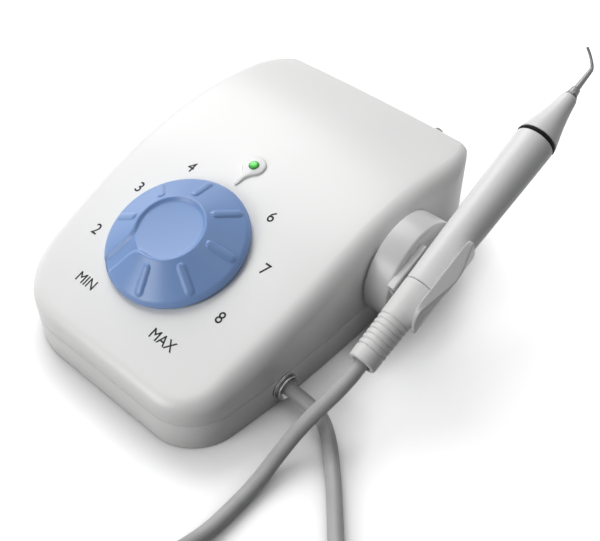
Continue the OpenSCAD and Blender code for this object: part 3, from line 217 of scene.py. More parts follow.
def spline(points, step):
    """Smooth line through points, cut into pieces of about one step."""
    pts = [Vector(p) for p in points]
    pts = [2 * pts[0] - pts[1]] + pts + [2 * pts[-1] - pts[-2]]
    line = []
    for a, b, c, d in zip(pts, pts[1:], pts[2:], pts[3:]):
        n = max(1, round((c - b).length / step))
        for i in range(n):
            t = i / n
            line.append(0.5 * ((2 * b) + (c - a) * t + (2 * a - 5 * b + 4 * c - d) * t * t
                               + (3 * b - a - 3 * c + d) * t ** 3))
    line.append(pts[-2])
    return line


def rounded(points, steps=5):
    """Profile whose corners, given as (r, z, fillet), are rounded."""
    out = []
    for i, p in enumerate(points):
        at = Vector(p[:2])
        fillet = p[2] if len(p) > 2 else 0.0
        if fillet == 0.0 or i in (0, len(points) - 1):
            out.append(tuple(at))
            continue
        before = Vector(points[i - 1][:2]) - at
        after = Vector(points[i + 1][:2]) - at
        reach = min(fillet, before.length * 0.49, after.length * 0.49)
        a, b = at + before.normalized() * reach, at + after.normalized() * reach
        for k in range(steps + 1):
            t = k / steps
            out.append(tuple(a * (1 - t) ** 2 + at * 2 * t * (1 - t) + b * t * t))
    return out


# Meshes

class Shape:
    """Points and faces of a piece, in millimetres."""

    def __init__(self):
        self.points = []
        self.faces = []

    def add(self, points, faces):
        """Takes in more points, and faces that count from the first of them."""
        start = len(self.points)
        self.points += [Vector(p) for p in points]
        self.faces += [[start + i for i in face] for face in faces]

    def moved(self, matrix):
        """The shape itself, after it was moved."""
        self.points = [matrix @ p for p in self.points]
        return self


def bands(rows, columns, closed=True):
    """Faces between rows of points, each row a ring unless it is open."""
    faces = []
    for j in range(rows - 1):
        for i in range(columns if closed else columns - 1):
            k = (i + 1) % columns
            a, b = j * columns, (j + 1) * columns
            faces.append([a + i, a + k, b + k, b + i])
    return faces


def circle(r, z, sides):
    """Ring of points about z."""
    return [(r * math.cos(2 * math.pi * i / sides), r * math.sin(2 * math.pi * i / sides), z)
            for i in range(sides)]


def lathe(profile, sides=96):
    """Solid of revolution about z; a profile that doesn't end on the axis is closed to itself."""
    shape = Shape()
    ring_of = []
    points, faces = [], []
    for r, z in profile:
        if r < 1e-6:
            ring_of.append([len(points)])
            points.append((0, 0, z))
        else:
            ring_of.append(list(range(len(points), len(points) + sides)))
            points += circle(r, z, sides)
    pairs = list(zip(ring_of, ring_of[1:]))
    if profile[0][0] > 1e-6 and profile[-1][0] > 1e-6:
        pairs.append((ring_of[-1], ring_of[0]))
    for a, b in pairs:
        for i in range(sides):
            k = (i + 1) % sides
            if len(a) == 1 and len(b) == 1:
                continue
            if len(a) == 1:
                faces.append([a[0], b[k], b[i]])
            elif len(b) == 1:
                faces.append([a[i], a[k], b[0]])
            else:
                faces.append([a[i], a[k], b[k], b[i]])
    shape.add(points, faces)
    return shape


def sweep(path, radii, sides=20):
    """Round tube along a line of points."""
    shape = Shape()
    line = [Vector(p) for p in path]
    n = len(line)
    tangents = [(line[min(i + 1, n - 1)] - line[max(i - 1, 0)]).normalized() for i in range(n)]
    side = tangents[0].cross(Vector((0, 0, 1)))
    if side.length < 1e-3:
        side = tangents[0].cross(Vector((1, 0, 0)))
    side.normalize()
    points = []
    for i in range(n):
        if i:
            side = tangents[i - 1].rotation_difference(tangents[i]) @ side
        side = (side - tangents[i] * side.dot(tangents[i])).normalized()
        other = tangents[i].cross(side)
        for k in range(sides):
            a = 2 * math.pi * k / sides
            points.append(line[i] + radii[i] * (math.cos(a) * side + math.sin(a) * other))
    faces = bands(n, sides)
    faces.append(list(range(sides))[::-1])
    faces.append([(n - 1) * sides + k for k in range(sides)])
    shape.add(points, faces)
    return shape


def loft(loops):
    """Closed body through loops of as many points each, with flat ends."""
    shape = Shape()
    n = len(loops[0])
    faces = bands(len(loops), n)
    faces.append(list(range(n))[::-1])
    faces.append([(len(loops) - 1) * n + k for k in range(n)])
    shape.add([p for loop in loops for p in loop], faces)
    return shape


def piece(name, shape, finish, body=None, sharp=38.0, in_part_frame=False):
    """Object of a shape, with its finish, riding on a body."""
    mesh = bpy.data.meshes.new(name)
    shift = Vector() if in_part_frame else ORIGIN
    mesh.from_pydata([(p - shift) * MM for p in shape.points], [], shape.faces)
    mesh.validate()
    work = bmesh.new()
    work.from_mesh(mesh)
    bmesh.ops.remove_doubles(work, verts=work.verts, dist=1e-7)
    bmesh.ops.recalc_face_normals(work, faces=work.faces)
    work.to_mesh(mesh)
    work.free()
    obj = bpy.data.objects.new(name, mesh)
    bpy.context.scene.collection.objects.link(obj)
    finish_edges(obj, sharp)
    mesh.materials.append(finish)
    if body:
        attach(obj, body)
    return obj


def finish_edges(obj, sharp):
    """Smooth shading, with edges sharper than an angle left sharp."""
    obj.data.shade_smooth()
    obj.data.set_sharp_from_angle(angle=math.radians(sharp))


def cut_away(obj, cutters, sharp=38.0):
    """Takes the cutters' volumes out of a piece."""
    for cutter in cutters:
        step = obj.modifiers.new("cut", "BOOLEAN")
        step.operation = "DIFFERENCE"
        step.solver = "EXACT"
        step.object = cutter
    bpy.context.view_layer.update()
    made = bpy.data.meshes.new_from_object(obj.evaluated_get(bpy.context.evaluated_depsgraph_get()))
    obj.modifiers.clear()
    old, obj.data = obj.data, made
    made.name = obj.name
    bpy.data.meshes.remove(old)
    for cutter in cutters:
        bpy.data.objects.remove(cutter)
    finish_edges(obj, sharp)


def box_shape(low, high):
    """Block between two corners."""
    shape = Shape()
    (x0, y0, z0), (x1, y1, z1) = low, high
    shape.add(
        [(x0, y0, z0), (x1, y0, z0), (x1, y1, z0), (x0, y1, z0),
         (x0, y0, z1), (x1, y0, z1), (x1, y1, z1), (x0, y1, z1)],
        [[0, 3, 2, 1], [4, 5, 6, 7], [0, 1, 5, 4], [1, 2, 6, 5], [2, 3, 7, 6], [3, 0, 4, 7]])
    return shape


# Finishes

def linear(rgb):
    """Colour of a screen value from 0 to 255, for a shader."""
    return tuple((c / 255 / 12.92) if c <= 10.3 else ((c / 255 + 0.055) / 1.055) ** 2.4 for c in rgb)


class Finish:
    """A principled material with its node tree at hand."""

    def __init__(self, name, colour, rough, metal=0.0):
        self.material = bpy.data.materials.new(name)
        self.material.use_nodes = True
        self.nodes = self.material.node_tree.nodes
        self.links = self.material.node_tree.links
        self.shader = self.nodes["Principled BSDF"]
        self.colour = tuple(colour[:3])
        self.shader.inputs["Base Color"].default_value = (*self.colour, 1)
        self.shader.inputs["Roughness"].default_value = rough
        self.shader.inputs["Metallic"].default_value = metal
        self.rough = rough

    def set(self, **sockets):
        """Plain values of the shader's own sockets."""
        for name, value in sockets.items():
            self.shader.inputs[name.replace("_", " ")].default_value = value
        return self

    def place(self, stretch=(1, 1, 1)):
        """Coordinates fixed to the piece, in metres."""
        coords = self.nodes.new("ShaderNodeTexCoord")
        mapping = self.nodes.new("ShaderNodeMapping")
        mapping.inputs["Scale"].default_value = stretch
        self.links.new(coords.outputs["Object"], mapping.inputs["Vector"])
        return mapping.outputs["Vector"]

    def noise(self, scale, detail=3.0, stretch=(1, 1, 1)):
        """Cloudy value, with so many clouds to the metre."""
        node = self.nodes.new("ShaderNodeTexNoise")
        node.inputs["Scale"].default_value = scale
        node.inputs["Detail"].default_value = detail
        self.links.new(self.place(stretch), node.inputs["Vector"])
        return node.outputs["Fac"]

    def range(self, value, low, high, start=0.3, end=0.7):
        """Value led from one range to another."""
        node = self.nodes.new("ShaderNodeMapRange")
        node.inputs["From Min"].default_value = start
        node.inputs["From Max"].default_value = end
        node.inputs["To Min"].default_value = low
        node.inputs["To Max"].default_value = high
        self.links.new(value, node.inputs["Value"])
        return node.outputs["Result"]

    def tint(self, value, dark=0.94, light=1.03):
        """Shades of the colour that follow a value."""
        ramp = self.nodes.new("ShaderNodeValToRGB")
        ramp.color_ramp.elements[0].position = 0.3
        ramp.color_ramp.elements[1].position = 0.7
        ramp.color_ramp.elements[0].color = (*(clamp(c * dark) for c in self.colour), 1)
        ramp.color_ramp.elements[1].color = (*(clamp(c * light) for c in self.colour), 1)
        self.links.new(value, ramp.inputs["Fac"])
        self.links.new(ramp.outputs["Color"], self.shader.inputs["Base Color"])
        return self

    def gloss(self, value, spread=0.05):
        """Roughness that follows a value."""
        self.links.new(self.range(value, self.rough - spread, self.rough + spread),
                       self.shader.inputs["Roughness"])
        return self

    def bump(self, value, height, strength=0.3):
        """Relief that follows a value, its height in metres."""
        node = self.nodes.new("ShaderNodeBump")
        node.inputs["Strength"].default_value = strength
        node.inputs["Distance"].default_value = height
        self.links.new(value, node.inputs["Height"])
        self.links.new(node.outputs["Normal"], self.shader.inputs["Normal"])
        return self


def moulded(name, colour, rough=0.3, grain=2600, depth=0.00003):
    """Injection-moulded plastic: slow waves of the skin, a fine spark grain, faint handling marks."""
    made = Finish(name, colour, rough).set(IOR=1.49)
    made.tint(made.noise(14, 2), 0.975, 1.01)
    made.gloss(made.noise(90, 2), 0.012)
    made.bump(made.noise(grain, 2), depth, 0.12)
    return made


def rubbery(name, colour, rough=0.6):
    """Soft rubber or sheath: mottled, matt, finely pitted."""
    made = Finish(name, colour, rough).set(IOR=1.45, Sheen_Weight=0.08)
    made.tint(made.noise(60, 4), 0.9, 1.08)
    made.gloss(made.noise(420, 3), 0.08)
    made.bump(made.noise(2200, 2), 0.00004, 0.2)
    return made


def metallic(name, colour, rough=0.25, stretch=(1, 1, 1), scale=900):
    """Bare or plated metal with the fine lines of its working."""
    made = Finish(name, colour, rough, 1.0)
    brushed = made.noise(scale, 4, stretch)
    made.tint(brushed, 0.93, 1.04)
    made.gloss(brushed, 0.06)
    made.bump(brushed, 0.00001, 0.1)
    return made


# Materials by the name of their finish
finishes = {}


def make_finishes(look):
    """All finishes of the part, each once."""
    made = {}
    made["shell"] = moulded("moulded_white", look.shell_colour, 0.34)
    made["tray"] = moulded("moulded_tray", look.tray_colour, 0.4)
    made["trim"] = moulded("holder_white", look.trim_colour, 0.3)
    # The disc's darker white is the holder's white with painted shade, for the shade beside the case's right
    # wall
    made["disc"] = moulded("white_disc_painted_shade", look.disc_colour_painted_shade, 0.3)
    made["dial"] = moulded("dial_blue", look.dial_colour, 0.3, 1800, 0.000008)
    made["bezel"] = moulded("bezel_white", look.trim_colour, 0.25)
    made["handpiece"] = moulded("handpiece_grey", look.handpiece_colour, 0.36, 3200)
    made["connector"] = moulded("connector_grey", look.connector_colour, 0.42, 3200)
    made["panel"] = moulded("panel_grey", linear((190, 190, 190)), 0.5)
    made["socket"] = moulded("socket_black", linear((34, 34, 36)), 0.4)
    made["ink"] = moulded("printed_ink", linear((36, 36, 38)), 0.55, 4000)
    made["ink"].set(Specular_IOR_Level=0.25)
    made["cord"] = rubbery("cord_grey", look.cord_colour, 0.5)
    made["feet"] = rubbery("foot_rubber", linear((60, 60, 62)), 0.75)
    made["seal"] = rubbery("seal_rubber", linear((18, 18, 19)), 0.6)
    made["seal"].set(Specular_IOR_Level=0.12, Sheen_Weight=0.0)
    made["tie"] = rubbery("tie_rubber", linear((70, 70, 72)), 0.7)
    made["bright"] = metallic("bright_plating", linear((150, 150, 150)), 0.16)
    made["steel"] = metallic("satin_steel", linear((106, 106, 105)), 0.3, (1, 1, 0.05), 2400)
    made["aluminium"] = metallic("extruded_aluminium", linear((200, 202, 206)), 0.42, (1, 0.03, 1), 1500)
    made["brass"] = metallic("machined_brass", linear((206, 178, 112)), 0.32)
    made["ferrite"] = moulded("pressed_ferrite", linear((58, 58, 62)), 0.65, 900, 0.0001)
    made["ceramic"] = moulded("fired_ceramic", linear((214, 204, 172)), 0.5, 1200)
    made["hose"] = moulded("milky_hose", linear((214, 220, 226)), 0.3)
    made["hose"].set(Transmission_Weight=0.35)
    made["laminate"] = laminate("board_laminate", linear((34, 112, 62)))
    made["copper"] = winding("wound_copper", linear((196, 118, 62)))
    made["clear"] = moulded("clear_ring", linear((150, 153, 155)), 0.12)
    made["clear"].set(Transmission_Weight=0.4, IOR=1.5)
    made["led"] = lens("lit_lens", look.lens_colour)
    finishes.update({k: v.material for k, v in made.items()})


def laminate(name, colour):
    """Circuit board: solder mask over the darker pattern of its tracks."""
    made = Finish(name, colour, 0.35).set(IOR=1.5)
    tracks = made.nodes.new("ShaderNodeTexBrick")
    tracks.inputs["Scale"].default_value = 260
    tracks.inputs["Mortar Size"].default_value = 0.08
    tracks.inputs["Color1"].default_value = (*colour, 1)
    tracks.inputs["Color2"].default_value = (*(c * 0.8 for c in colour), 1)
    tracks.inputs["Mortar"].default_value = (*(clamp(c * 1.5) for c in colour), 1)
    made.links.new(made.place(), tracks.inputs["Vector"])
    made.links.new(tracks.outputs["Color"], made.shader.inputs["Base Color"])
    made.bump(tracks.outputs["Fac"], 0.00005, 0.2)
    return made


def winding(name, colour):
    """Enamelled wire, laid turn by turn."""
    made = Finish(name, colour, 0.35, 0.8)
    turns = made.nodes.new("ShaderNodeTexWave")
    turns.bands_direction = "Z"
    turns.inputs["Scale"].default_value = 500
    turns.inputs["Distortion"].default_value = 0.4
    made.links.new(made.place(), turns.inputs["Vector"])
    made.tint(turns.outputs["Fac"], 0.55, 1.1)
    made.bump(turns.outputs["Fac"], 0.0002, 0.6)
    return made


def lens(name, colour):
    """Lit indicator: a green body that glows, with a painted highlight in its middle and painted shade at
    its rim.
    """
    made = Finish(name, colour, 0.15).set(IOR=1.5, Emission_Strength=0.4)
    # Painted highlight in the lens's middle and painted shade at its rim, in both its colour and its glow
    away = made.nodes.new("ShaderNodeVectorMath")
    away.operation = "DISTANCE"
    away.inputs[1].default_value = MM * (on_top(DIAL_X, LED_Y) @ Vector((0, 0, LENS_HIGHLIGHT_Z)) - ORIGIN)
    made.links.new(made.place(), away.inputs[0])
    painted_highlight_and_rim_shade = made.range(away.outputs["Value"], 1.0, 0.0, 0.5 * MM * LED_R, 1.05 * MM * LED_R)
    made.tint(painted_highlight_and_rim_shade, 0.3, 1.1)
    ramp = made.nodes.new("ShaderNodeValToRGB")
    ramp.color_ramp.elements[0].color = (*(c * 0.15 for c in colour), 1)
    ramp.color_ramp.elements[1].color = (*(clamp(c * 1.3) for c in colour), 1)
    made.links.new(painted_highlight_and_rim_shade, ramp.inputs["Fac"])
    made.links.new(ramp.outputs["Color"], made.shader.inputs["Emission Color"])
    return made


def dress(finish, *nodes):
    """Gives solids that are shown as they are their finish."""
    for node in nodes:
        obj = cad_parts[node]
        obj.data.materials.clear()
        obj.data.materials.append(finishes[finish])
        obj.data.shade_smooth()
        obj.data.set_sharp_from_angle(angle=math.radians(30))


# Case

def plan_stations(corner_r, bow_r):
    """Arcs of one half of the plan: centre, radius and angle of each point."""
    fy = NOSE_Y + corner_r
    fx = HALF_W - bow_r + math.sqrt((bow_r - corner_r) ** 2 - (fy - SIDE_Y0) ** 2)
    ry = BACK - REAR_CORNER_R
    rx = HALF_W - SIDE_REAR_R + math.sqrt((SIDE_REAR_R - REAR_CORNER_R) ** 2 - (ry - SIDE_Y1) ** 2)
    fa = math.atan2(fy - SIDE_Y0, fx - HALF_W + bow_r)
    ra = math.atan2(ry - SIDE_Y1, rx - HALF_W + SIDE_REAR_R)
    down = -math.pi / 2
    out = [(fx, fy, corner_r, down + (fa - down) * i / 20) for i in range(21)]
    out += [(HALF_W - bow_r, SIDE_Y0, bow_r, fa * (1 - i / 14)) for i in range(1, 15)]
    out += [(HALF_W - SIDE_REAR_R, SIDE_Y0 + (SIDE_Y1 - SIDE_Y0) * i / 16, SIDE_REAR_R, 0.0)
            for i in range(1, 16)]
    out += [(HALF_W - SIDE_REAR_R, SIDE_Y1, SIDE_REAR_R, ra * i / 12) for i in range(13)]
    out += [(rx, ry, REAR_CORNER_R, ra + (-down - ra) * i / 10) for i in range(1, 11)]
    return out


class Plan:
    """Outline of the case and the skins that stand on it."""

    columns = 20

    def __init__(self):
        self.stations = [(1, plan_stations(RIGHT_CORNER_R, RIGHT_BOW_R)),
                         (-1, plan_stations(LEFT_CORNER_R, LEFT_BOW_R))]
        self.n = len(self.stations[0][1])
        self.count = 2 * self.n + 2 * (self.columns - 1)

    def halves(self, inset, share=0.0):
        """Right and left half of the outline, each from the front to the back."""
        out = []
        for side, stations in self.stations:
            half = []
            for cx, cy, r, a in stations:
                d = inset + share * max(1.0, edge_at(cy + r * math.sin(a)) - inset)
                half.append((side * (cx + (r - d) * math.cos(a)), cy + (r - d) * math.sin(a)))
            out.append(half)
        return out

    def between(self, a, b):
        """Points that part the way from a to b into columns."""
        steps = [i / self.columns for i in range(1, self.columns)]
        return [(a[0] + (b[0] - a[0]) * t, a[1] + (b[1] - a[1]) * t) for t in steps]

    def ring(self, halves):
        """Whole outline from its halves."""
        right, left = halves
        return right + self.between(right[-1], left[-1]) + left[::-1] + self.between(left[0], right[0])

    def flat(self, inset, z):
        """Outline drawn in and laid at one height."""
        return [(x, y, z) for x, y in self.ring(self.halves(inset))]

    def edge(self, inset, angle):
        """Outline on the rounding of the top edge, from the wall at 0 to the roof at a quarter turn."""
        return [(x, y, top_z(x, y) - inset - max(1.0, edge_at(y) - inset) * (1 - math.sin(angle)))
                for x, y in self.ring(self.halves(inset, 1 - math.cos(angle)))]

    def inner_points(self, halves, height):
        """Points that fill the outline, at a height that depends on their place."""
        right, left = halves
        return [(x, y, height(x, y)) for j in range(1, self.n - 1)
                for x, y in self.between(left[j], right[j])]

    def lid(self, ring_start, inner_start):
        """Faces that close a ring with the points inside it."""
        n, m = self.n, self.columns

        def at(j, i):
            """Number of the point in a row and column of the lid."""
            if i == 0:
                return ring_start + n + m - 1 + n - 1 - j
            if i == m:
                return ring_start + j
            if j == 0:
                return ring_start + 2 * n + m - 1 + i - 1
            if j == n - 1:
                return ring_start + n + m - 1 - i
            return inner_start + (j - 1) * (m - 1) + i - 1

        return [[at(j, i), at(j, i + 1), at(j + 1, i + 1), at(j + 1, i)]
                for j in range(n - 1) for i in range(m)]

    def body(self, rings, low_halves, low_height, high_halves, high_height):
        """Closed body: rings one over the other, with a lid on the first and on the last."""
        count = self.count
        points = [p for ring in rings for p in ring]
        faces = bands(len(rings), count)
        start = len(points)
        points += self.inner_points(low_halves, low_height)
        faces += self.lid(0, start)
        start = len(points)
        points += self.inner_points(high_halves, high_height)
        faces += self.lid((len(rings) - 1) * count, start)
        shape = Shape()
        shape.add(points, faces)
        return shape


def cover_shape(plan):
    """Upper moulding, from its inner roof round the rim to its outer roof."""
    quarter = math.pi / 2
    rings = [plan.edge(WALL, quarter * (1 - i / 4)) for i in range(5)]
    rim = SPLIT_Z + SPLIT_GAP
    rings += [plan.flat(WALL, rim)] + [plan.flat(inset, rim + up) for inset, up in COVER_BREAK]
    rings += [plan.edge(0.0, quarter * i / 14) for i in range(15)]
    return plan.body(rings, plan.halves(WALL, 1.0), lambda x, y: top_z(x, y) - WALL,
                     plan.halves(0.0, 1.0), top_z)


def tray_shape(plan):
    """Lower moulding, from its inner floor over the rim to the underside."""
    floor = FOOT_H + WALL
    step = SPLIT_Z - GROOVE_H
    rim = SPLIT_Z - SPLIT_GAP
    inner = [(WALL, floor), (WALL, rim), (GROOVE_IN, rim), (GROOVE_IN, step)]
    outer = [(inset, step - down) for inset, down in TRAY_BREAK]
    outer += [(inset, SKIRT_Z + up) for inset, up in SKIRT_BREAK]
    under = [(SKIRT_T - 0.2, SKIRT_Z), (SKIRT_T, SKIRT_Z + 0.2), (SKIRT_T, FOOT_H)]
    rings = [plan.flat(inset, z) for inset, z in inner + outer + under]
    return plan.body(rings, plan.halves(WALL), lambda x, y: floor,
                     plan.halves(SKIRT_T), lambda x, y: FOOT_H)


def make_case():
    """Cover with the opening for its rear panel, and tray with the bores of its screws."""
    plan = Plan()
    cover = piece("case_cover", cover_shape(plan), finishes["shell"], sharp=50)
    opening = piece("cutter", box_shape(
        (-PANEL_W / 2 + PANEL_EDGE, PANEL_Y - 1, PANEL_Z - PANEL_H / 2 + PANEL_EDGE),
        (PANEL_W / 2 - PANEL_EDGE, BACK + 1, PANEL_Z + PANEL_H / 2 - PANEL_EDGE)), finishes["shell"])
    cut_away(cover, [opening], 50)
    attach(cover, "base")
    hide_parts("top_cover")

    tray = piece("case_tray", tray_shape(plan), finishes["tray"], sharp=40)
    bores = []
    for x, y in BOSS_AT:
        for s in (-1, 1):
            bore = lathe([(0, -1), (SCREW_BORE_R, -1), (SCREW_BORE_R, SCREW_BORE_H), (0, SCREW_BORE_H)], 48)
            bore.moved(Matrix.Translation((s * x, y, FOOT_H)))
            bores.append(piece("cutter", bore, finishes["tray"]))
    cut_away(tray, bores, 40)
    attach(tray, "base")
    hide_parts("base_tray")
    dress("feet", "rubber_feet")
    dress("steel", "case_screws")


# Dial

def dial_height(x, y):
    """Height of the dial's face over its own plane: a cone with a keyhole recess and raised bars."""
    r = math.hypot(x, y)
    rim_r, rim_z, fall, crest_r = DIAL_R - 0.8, 3.6, 8.0 / 14.0, 14.6
    roll, roll_drop = 1.9, 0.9
    cone = (rim_z + (rim_r - max(r, crest_r)) * fall
            - roll_drop * (max(0.0, r - (DIAL_R - roll)) / roll) ** 2)
    along = x * math.cos(POINTER_A) + y * math.sin(POINTER_A)
    across = -x * math.sin(POINTER_A) + y * math.cos(POINTER_A)
    dish = r - DISH_R + 0.3
    channel = abs(across) - POINTER_W / 2 if along > 0 else 99.0
    melt = 5.0
    h = clamp(0.5 + 0.5 * (channel - dish) / melt)
    edge = channel * (1 - h) + dish * h - melt * h * (1 - h) if along > 0 else dish
    bowl_r, least_depth = 220, 1.25
    floor = min(DIAL_H - DISH_DEPTH + r * r / (2 * bowl_r), cone - least_depth)
    sunk = ease((1.0 - edge) / 2.0)
    z = cone * (1 - sunk) + floor * sunk
    for k in range(1, 8):
        a = POINTER_A + k * math.pi / 4
        u = x * math.cos(a) + y * math.sin(a)
        v = -x * math.sin(a) + y * math.cos(a)
        half = BAR_L / 2 - BAR_W / 2
        off = math.hypot(max(0.0, abs(u - BAR_MID_R) - half), v) / (BAR_W / 2)
        if off < 1.0:
            z += BAR_H * math.sqrt(1 - off ** 2) ** 0.9
    return z


def dial_shape():
    """Whole dial, from the middle of its face round the rim to its hollow underside."""
    sides = 480
    points = [(0, 0, dial_height(0, 0))]
    for r in FACE_RADII:
        points += [(x, y, dial_height(x, y)) for x, y, _ in circle(r, 0, sides)]
    for r, z in UNDERSIDE:
        points += circle(r, z, sides)
    rows = len(FACE_RADII) + len(UNDERSIDE)
    faces = [[0, 1 + i, 1 + (i + 1) % sides] for i in range(sides)]
    faces += [[1 + k for k in face] for face in bands(rows, sides)]
    last = len(points)
    points.append((0, 0, UNDERSIDE[-1][1]))
    faces += [[1 + (rows - 1) * sides + (i + 1) % sides, 1 + (rows - 1) * sides + i, last]
              for i in range(sides)]
    shape = Shape()
    shape.add(points, faces)
    return shape


def make_dial():
    """Dial on the case's slope, with its shaft and control."""
    dial = piece("dial_knob", dial_shape().moved(on_top(DIAL_X, DIAL_Y)), finishes["dial"], "dial", 60)
    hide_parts("power_dial")
    dress("steel", "dial_shaft", "potentiometer_nut", "potentiometer")


# Printed scale

def printed(word, x, y, height):
    """Ink on the case, a little proud of it and following its curve."""
    text = bpy.data.curves.new("ink", "FONT")
    text.body = word
    text.align_x = "CENTER"
    text.extrude = 0.01
    carrier = bpy.data.objects.new("ink", text)
    bpy.context.scene.collection.objects.link(carrier)
    bpy.context.view_layer.update()
    mesh = bpy.data.meshes.new_from_object(carrier.evaluated_get(bpy.context.evaluated_depsgraph_get()))
    bpy.data.objects.remove(carrier)
    low_y = min(v.co.y for v in mesh.vertices)
    high_y = max(v.co.y for v in mesh.vertices)
    mid_x = (min(v.co.x for v in mesh.vertices) + max(v.co.x for v in mesh.vertices)) / 2
    grow = height / (high_y - low_y)
    shape = Shape()
    for right, back, lift in INK_COPIES:
        points = []
        for v in mesh.vertices:
            px = x + right + (v.co.x - mid_x) * grow * INK_NARROW
            py = y + back + (v.co.y - (low_y + high_y) / 2) * grow
            points.append((px, py, top_z(px, py) + (lift if v.co.z > 0 else -INK_SUNK)))
        shape.add(points, [list(f.vertices) for f in mesh.polygons])
    bpy.data.meshes.remove(mesh)
    return shape


def make_scale():
    """Numbers and words of the dial's scale."""
    for word, x, y, height in SCALE:
        obj = piece("scale_" + word, printed(word, x, y, height), finishes["ink"], "base", 30)


# Indicator

def bezel_outline():
    """Outline of the trim: round head, short neck, slim tail towards the dial."""
    right = []
    for i in range(17):
        a = math.radians(90 - 146 * i / 16)
        right.append((BEZEL_R * math.cos(a), BEZEL_R * math.sin(a)))
    neck = spline([(*right[-1], 0), (1.9, -5.9, 0), (1.35, -7.3, 0), (1.0, -9.6, 0),
                   (TAIL_HALF_W, TAIL_END, 0)], 0.5)
    right += [(p.x, p.y) for p in neck[1:]]
    right += [(TAIL_HALF_W * math.cos(math.radians(a)), TAIL_END + 0.8 * math.sin(math.radians(a)))
              for a in range(-18, -91, -18)]
    left = [(-x, y) for x, y in reversed(right[1:-1])]
    return right + left


def make_indicator():
    """Teardrop trim and the lit lens in its head."""
    outline = bezel_outline()

    def ring(inset, z):
        """Outline of the trim, drawn in, at a height that drops along the tail."""
        out = []
        n = len(outline)
        for i, (x, y) in enumerate(outline):
            ax, ay = outline[i - 1]
            bx, by = outline[(i + 1) % n]
            tx, ty = bx - ax, by - ay
            size = math.hypot(tx, ty) or 1.0
            drop = TAIL_DROP * ease((TAIL_FROM - y) / (TAIL_FROM - TAIL_TO)) if z > 0 else 0
            out.append((x + inset * ty / size, y - inset * tx / size, z * (1 - drop)))
        return out

    levels = [(0.0, -0.3), (0.0, 0.3), (0.08, 0.52), (0.24, 0.72), (0.45, 0.86), (0.6, 0.92)]
    shape = loft([ring(d, z) for d, z in levels])
    bezel = piece("indicator_trim", shape.moved(on_top(DIAL_X, LED_Y)), finishes["bezel"], "base", 40)
    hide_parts("indicator_bezel")
    dome = [(0.0, 0.9), (LED_R + 0.1, 0.9), (LED_R + 0.1, 1.05), (LED_R, 1.1)]
    dome += [(LED_R * math.cos(math.radians(a)), 1.1 + 0.9 * math.sin(math.radians(a)))
             for a in range(9, 90, 9)] + [(0.0, 2.0)]
    led = piece("indicator_lens", lathe(dome, 48).moved(on_top(DIAL_X, LED_Y)), finishes["led"], "base", 40)
    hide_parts("indicator_led")


# Holder

def closed_loop(corners, steps=5, spread=5):
    """Closed outline of corners (x, y, fillet), with points spread along its sides."""
    n = len(corners)
    ends = []
    for i, (x, y, fillet) in enumerate(corners):
        at = Vector((x, y))
        before = Vector(corners[i - 1][:2]) - at
        after = Vector(corners[(i + 1) % n][:2]) - at
        reach = min(fillet, before.length * 0.48, after.length * 0.48)
        ends.append((at + before.normalized() * reach, at, at + after.normalized() * reach))
    loop = []
    for i, (a, at, b) in enumerate(ends):
        for k in range(steps + 1):
            u = k / steps
            loop.append(a * (1 - u) ** 2 + at * 2 * u * (1 - u) + b * u * u)
        following = ends[(i + 1) % n][0]
        for k in range(1, spread):
            loop.append(b.lerp(following, k / spread))
    return loop


def drawn_in(loop, inset):
    """Outline moved inwards all round."""
    n = len(loop)
    area = sum(loop[i - 1].x * loop[i].y - loop[i].x * loop[i - 1].y for i in range(n))
    turn = 1 if area > 0 else -1
    out = []
    for i, p in enumerate(loop):
        along = loop[(i + 1) % n] - loop[i - 1]
        size = along.length or 1.0
        out.append(p + Vector((-along.y, along.x)) * (turn * inset / size))
    return out


def round_end(near, r):
    """Inset of a section that lies so near to the end of a body whose ends are rounded by r."""
    return r - math.sqrt(max(0.0, r * r - max(0.0, r - near) ** 2))


def jaw_width(s):
    """Outer edge of the outer jaw's rim: a leaf with a rounded corner at its widest place."""
    rear, front, peak = (CRADLE_IN + JAW_REACH * k for k in (0.23, 0.38, 1.13))
    low = rear + (peak - rear) * (s - JAW_S0) / (JAW_MID - JAW_S0)
    high = front + (peak - front) * (JAW_S1 - s) / (JAW_S1 - JAW_MID)
    melt = 2.6
    h = clamp(0.5 + 0.5 * (high - low) / melt)
    return high * (1 - h) + low * h - melt * h * (1 - h) * 0.96


def jaw_top(s):
    """Height of the jaw's inner edge, which drops round at its rear end."""
    drop = 8.4
    back = clamp((JAW_S0 + drop - s) / drop)
    return JAW_RISE * math.sqrt(max(0.0, 1 - back * back)) - 0.9 * clamp((s - JAW_S1 + 2.4) / 2.4) ** 2


def jaw_loop(s):
    """Section of the outer jaw: trough wall, undercut and sloping rim; x right, y down."""
    sole_r, sole_mid, sole_up = 30.0, 41.0, 20.9
    low = sole_r * math.sqrt(max(0.0, 1 - ((s - sole_mid) / sole_r) ** 2)) - sole_up
    top, wide = max(jaw_top(s), 0.6), jaw_width(s)
    edge = max(min(top - 0.12, JAW_RISE - math.tan(RIM_TILT) * (wide - CRADLE_IN)), 0.3)
    under = clamp((wide - JAW_OUT) / (JAW_REACH + CRADLE_IN - JAW_OUT), 0.02, 1.0) * edge * 0.92
    low_in = min(math.asin(clamp(low / CRADLE_IN, 0, 1)), math.radians(84))
    low_out = min(math.asin(clamp(low / JAW_OUT, 0, 1)), math.radians(84))
    corners = [(CRADLE_IN * math.cos(low_in * k / 4), CRADLE_IN * math.sin(low_in * k / 4), 0.4)
               for k in (4, 3, 2, 1, 0)]
    corners += [(CRADLE_IN, -top, 0.45), (wide, -edge, 0.5), (max(wide, JAW_OUT + 0.01), -under, 1.2)]
    corners += [(JAW_OUT * math.cos(low_out * k / 4), JAW_OUT * math.sin(low_out * k / 4), 0.5)
                for k in (0, 1, 2, 3, 4)]
    return closed_loop(corners)


